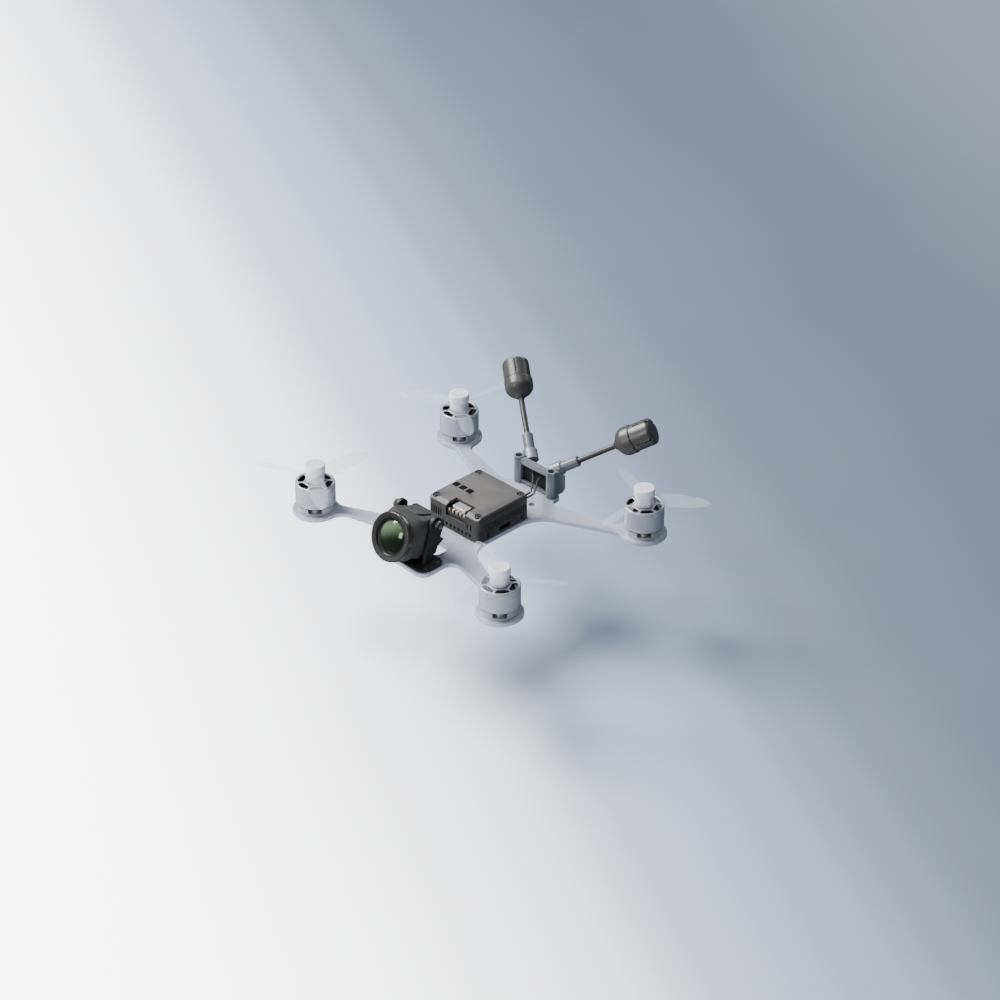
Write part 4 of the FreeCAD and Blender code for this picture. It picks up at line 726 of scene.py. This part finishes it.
# radius, millimetres in front of the tilt axis
CONE = ((9.15, 14.95), (9.15, 15.0), (9.5, 15.02), (9.5, 15.1), (10.1, 15.22), (10.1, 15.3), (10.95, 15.46))
RIM = ((10.95, 15.46), (11.25, 15.6), (11.55, 15.55), (11.9, 15.0), (11.9, 13.1), (11.75, 12.95),
       (11.75, 12.6), (9.6, 12.6))
BARREL = ((9.55, 5.0), (9.55, 14.88), (8.95, 14.88), (8.7, 14.5), (8.7, 13.9), (8.3, 13.7), (0.0, 13.6))
DOME_R, DOME_HALF_DEG, DOME_FRONT = 15.0, 36.2, 15.75
# the thumb screws' radius, millimetres from the middle of the camera, whether grooved
KNOB_ROWS = ((1.0, 8.3, False), (1.0, 12.35, False), (2.0, 12.36, False), (2.27, 12.6, True),
             (2.27, 14.55, True), (2.0, 14.92, False), (1.1, 15.0, False), (0.95, 14.75, False),
             (0.0, 14.7, False))
SOCKET_ROW = 6  # the bright socket begins here


def rounded_box(half_x, front, back):
    """An outline with rounded corners across the camera, between two distances from the tilt axis."""
    mid, half_y = (front + back) / 2, (back - front) / 2
    loop = []
    for k in range(64):
        u, v = superellipse(math.tau * k / 64, 5.0)
        loop.append((u * half_x * MM, (mid + v * half_y) * MM))
    return loop


def make_housing():
    """Camera shell that swells from the round nose into square shoulders, with a raised top plate."""
    bm = bmesh.new()
    around = 144
    rings = []
    for back, half, top, bottom, power in HOUSING:
        ring = []
        for k in range(around):
            u, v = superellipse(math.tau * k / around, power)
            up = v * (top if v > 0 else bottom)
            ring.append(bm.verts.new(CAMERA_FRAME @ (Vector((half * u, back, up - LENS_DROP)) * MM)))
        rings.append(ring)
    skin(bm, rings)
    bm.faces.new(rings[0])
    bm.faces.new(rings[-1])
    loops = [rounded_box(5.5, -6.5, 3.5), rounded_box(1.6, -4.4, -3.5)]
    plate = slab(loops, 1.2 * MM, 2.55 * MM, 0.25 * MM, 3)
    merge_mesh(bm, plate, CAMERA_FRAME)
    piece = object_from(bm, "camera_shell", [MATERIALS["camera_body"]], 38.0)
    place(piece, "camera", "camera_body", "camera_housing")


def make_lens():
    """Front ring with a thin crest and stepped cone, black barrel mouth and domed glass."""
    bm = lathe(millimetres(rounded_profile(CONE, 0.10, 3)), 160, matrix=LENS_AXIS, slot_index=1)
    lathe(millimetres(rounded_profile(RIM, 0.18, 3)), 160, bm, LENS_AXIS)
    bmesh.ops.remove_doubles(bm, verts=bm.verts, dist=1e-6)
    ring = object_from(bm, "front_ring", [MATERIALS["lens_ring"], MATERIALS["camera_mount"]], 30.0)
    place(ring, "camera", "lens_ring", "lens_ring")
    bm = lathe(millimetres(BARREL), 128, matrix=LENS_AXIS)
    mouth = object_from(bm, "barrel_mouth", [MATERIALS["lens_barrel"]], 30.0)
    place(mouth, "camera", "lens_barrel", "lens_barrel")
    dome = [(8.85, 12.75)]
    for k in range(25):
        angle = math.radians(DOME_HALF_DEG) * (1 - k / 24)
        dome.append((DOME_R * math.sin(angle), DOME_FRONT - DOME_R * (1 - math.cos(angle))))
    bm = lathe(millimetres(dome), 128, matrix=LENS_AXIS)
    place(object_from(bm, "dome_glass", [GLASS], 60.0), "camera", "lens_glass", "lens_glass")


def make_knobs():
    """Black thumb screws with fine grooves round the head and a bright socket."""
    bm = bmesh.new()
    for side in (1, -1):
        facing = CAMERA_FRAME @ Matrix.Rotation(math.radians(90 * side), 4, "Y")
        count = 72
        rings = []
        for radius, out, ribbed in KNOB_ROWS:
            ring = []
            for k in range(count if radius else 1):
                angle = math.tau * k / count
                wave = 0.94 + 0.06 * math.cos(24 * angle) if ribbed else 1.0
                ring.append(bm.verts.new(facing @ (Vector((radius * wave * math.cos(angle),
                                                           radius * wave * math.sin(angle), out)) * MM)))
            rings.append(ring)
        skin(bm, rings[:SOCKET_ROW + 1])
        skin(bm, rings[SOCKET_ROW:], 1)
    piece = object_from(bm, "thumb_screws", [MATERIALS["knob"], MATERIALS["steel"]], 28.0)
    place(piece, "camera", "knob", "tilt_screws")


make_housing()
make_lens()
make_knobs()


# ---------------------------------------------------------------- antennas

# millimetres; the cup and the cap are (radius, height over the sleeve's mouth)
MOUTH_X, MOUTH_Y, MOUTH_Z = 17.23, 49.86, 20.34
ROD = ((0.0, -12.0), (1.44, -12.0), (1.44, 0.5), (1.36, 0.9), (1.36, 18.8), (1.44, 20.0), (1.44, 21.1),
       (0.0, 21.1))
CUP = ((1.46, 20.2), (2.0, 20.2), (2.5, 21.0), (5.4, 23.0), (6.6, 24.6), (7.0, 26.0), (7.0, 30.0),
       (6.7, 30.4), (0.0, 30.4))
CAP_R, CAP_WALL_LOW, CAP_WALL_TOP = 6.6, 31.4, 39.3
CAP_ROWS = ([(6.0, 30.41), (CAP_R, 30.6), (CAP_R, CAP_WALL_LOW)]
            + [(CAP_R, CAP_WALL_LOW + (CAP_WALL_TOP - CAP_WALL_LOW) * k / 24) for k in range(1, 25)]
            + [(6.52, 39.7), (6.3, 40.15), (5.95, 40.5), (5.4, 40.76), (4.9, 40.8), (4.4, 40.8), (0.0, 40.78)])
# half width where full depth ends, width of the flank, depth, height where it begins, height of its run-in
GROOVE = (0.30, 0.12, 0.6, 31.7, 0.5)
NOTCH = (0.68, 0.14, 1.15, 39.0, 0.35)


def antenna_direction(side):
    return Vector((side * math.sqrt(0.5), 0.5, 0.5))


def antenna_frame(side):
    """Origin at the mouth of the sleeve, Z along the antenna."""
    mouth = Vector((side * MOUTH_X, MOUTH_Y, MOUTH_Z)) * MM
    turn = antenna_direction(side).to_track_quat("Z", "Y")
    return Matrix.Translation(mouth) @ turn.to_matrix().to_4x4()


def groove_direction(side):
    """The angle, in the antenna's own frame, of the CAD model's first groove."""
    turned = Vector((0, 0, 1)).rotation_difference(antenna_direction(side)).to_matrix()
    local = antenna_frame(side).to_3x3().inverted() @ turned @ Vector((math.sqrt(0.5), math.sqrt(0.5), 0))
    return math.atan2(local.y, local.x)


def make_rod(side):
    """Jacketed rod that thickens slightly where it enters the sleeve and the cup."""
    return lathe(millimetres(rounded_profile(ROD, 0.6)), 48, matrix=antenna_frame(side))


def cut_depth(shape, off, height):
    """How deep a groove or notch is at a distance across it and a height."""
    half, flank, depth, begin, run_in = shape
    start = min(1.0, max(0.0, (height - begin) / run_in))
    return depth * start * max(0.0, 1.0 - max(0.0, off - half) / flank)


def make_head(side, name):
    """Tapered cup under a cap with four grooves that open into notches at the tip."""
    to_world = antenna_frame(side)
    bm = lathe(millimetres(rounded_profile(CUP, 1.0, 6)), 128, matrix=to_world)
    piece = object_from(bm, "head_cup_" + name, [MATERIALS["antenna_head"]], 40.0)
    place(piece, "airframe", "antenna_head", "antenna_cup_" + name)

    count = 288
    first = groove_direction(side)
    quarter = math.pi / 2
    bm = bmesh.new()
    rings = []
    for radius, height in CAP_ROWS:
        ring = []
        for k in range(count if radius else 1):
            angle = math.tau * k / count
            off = abs((angle - first + quarter / 2) % quarter - quarter / 2) * CAP_R
            depth = max(cut_depth(GROOVE, off, height), cut_depth(NOTCH, off, height)) if radius > 4.5 else 0.0
            reach = (radius - depth) * MM
            ring.append(bm.verts.new(to_world @ Vector((reach * math.cos(angle), reach * math.sin(angle),
                                                        height * MM))))
        rings.append(ring)
    skin(bm, rings)
    piece = object_from(bm, "head_cap_" + name, [MATERIALS["antenna_head"]], 32.0)
    place(piece, "airframe", "antenna_head", "antenna_cap_" + name)


def merged(first, second):
    """Both bmeshes in one."""
    mesh = bpy.data.meshes.new("merge")
    second.to_mesh(mesh)
    second.free()
    merge_mesh(first, mesh)
    return first


both_rods = object_from(merged(make_rod(1), make_rod(-1)), "rods", [MATERIALS["antenna_rod"]], 40.0)
place(both_rods, "airframe", "antenna_rod", "antenna_rods")
for side_name, side_sign in (("left", 1), ("right", -1)):
    make_head(side_sign, side_name)
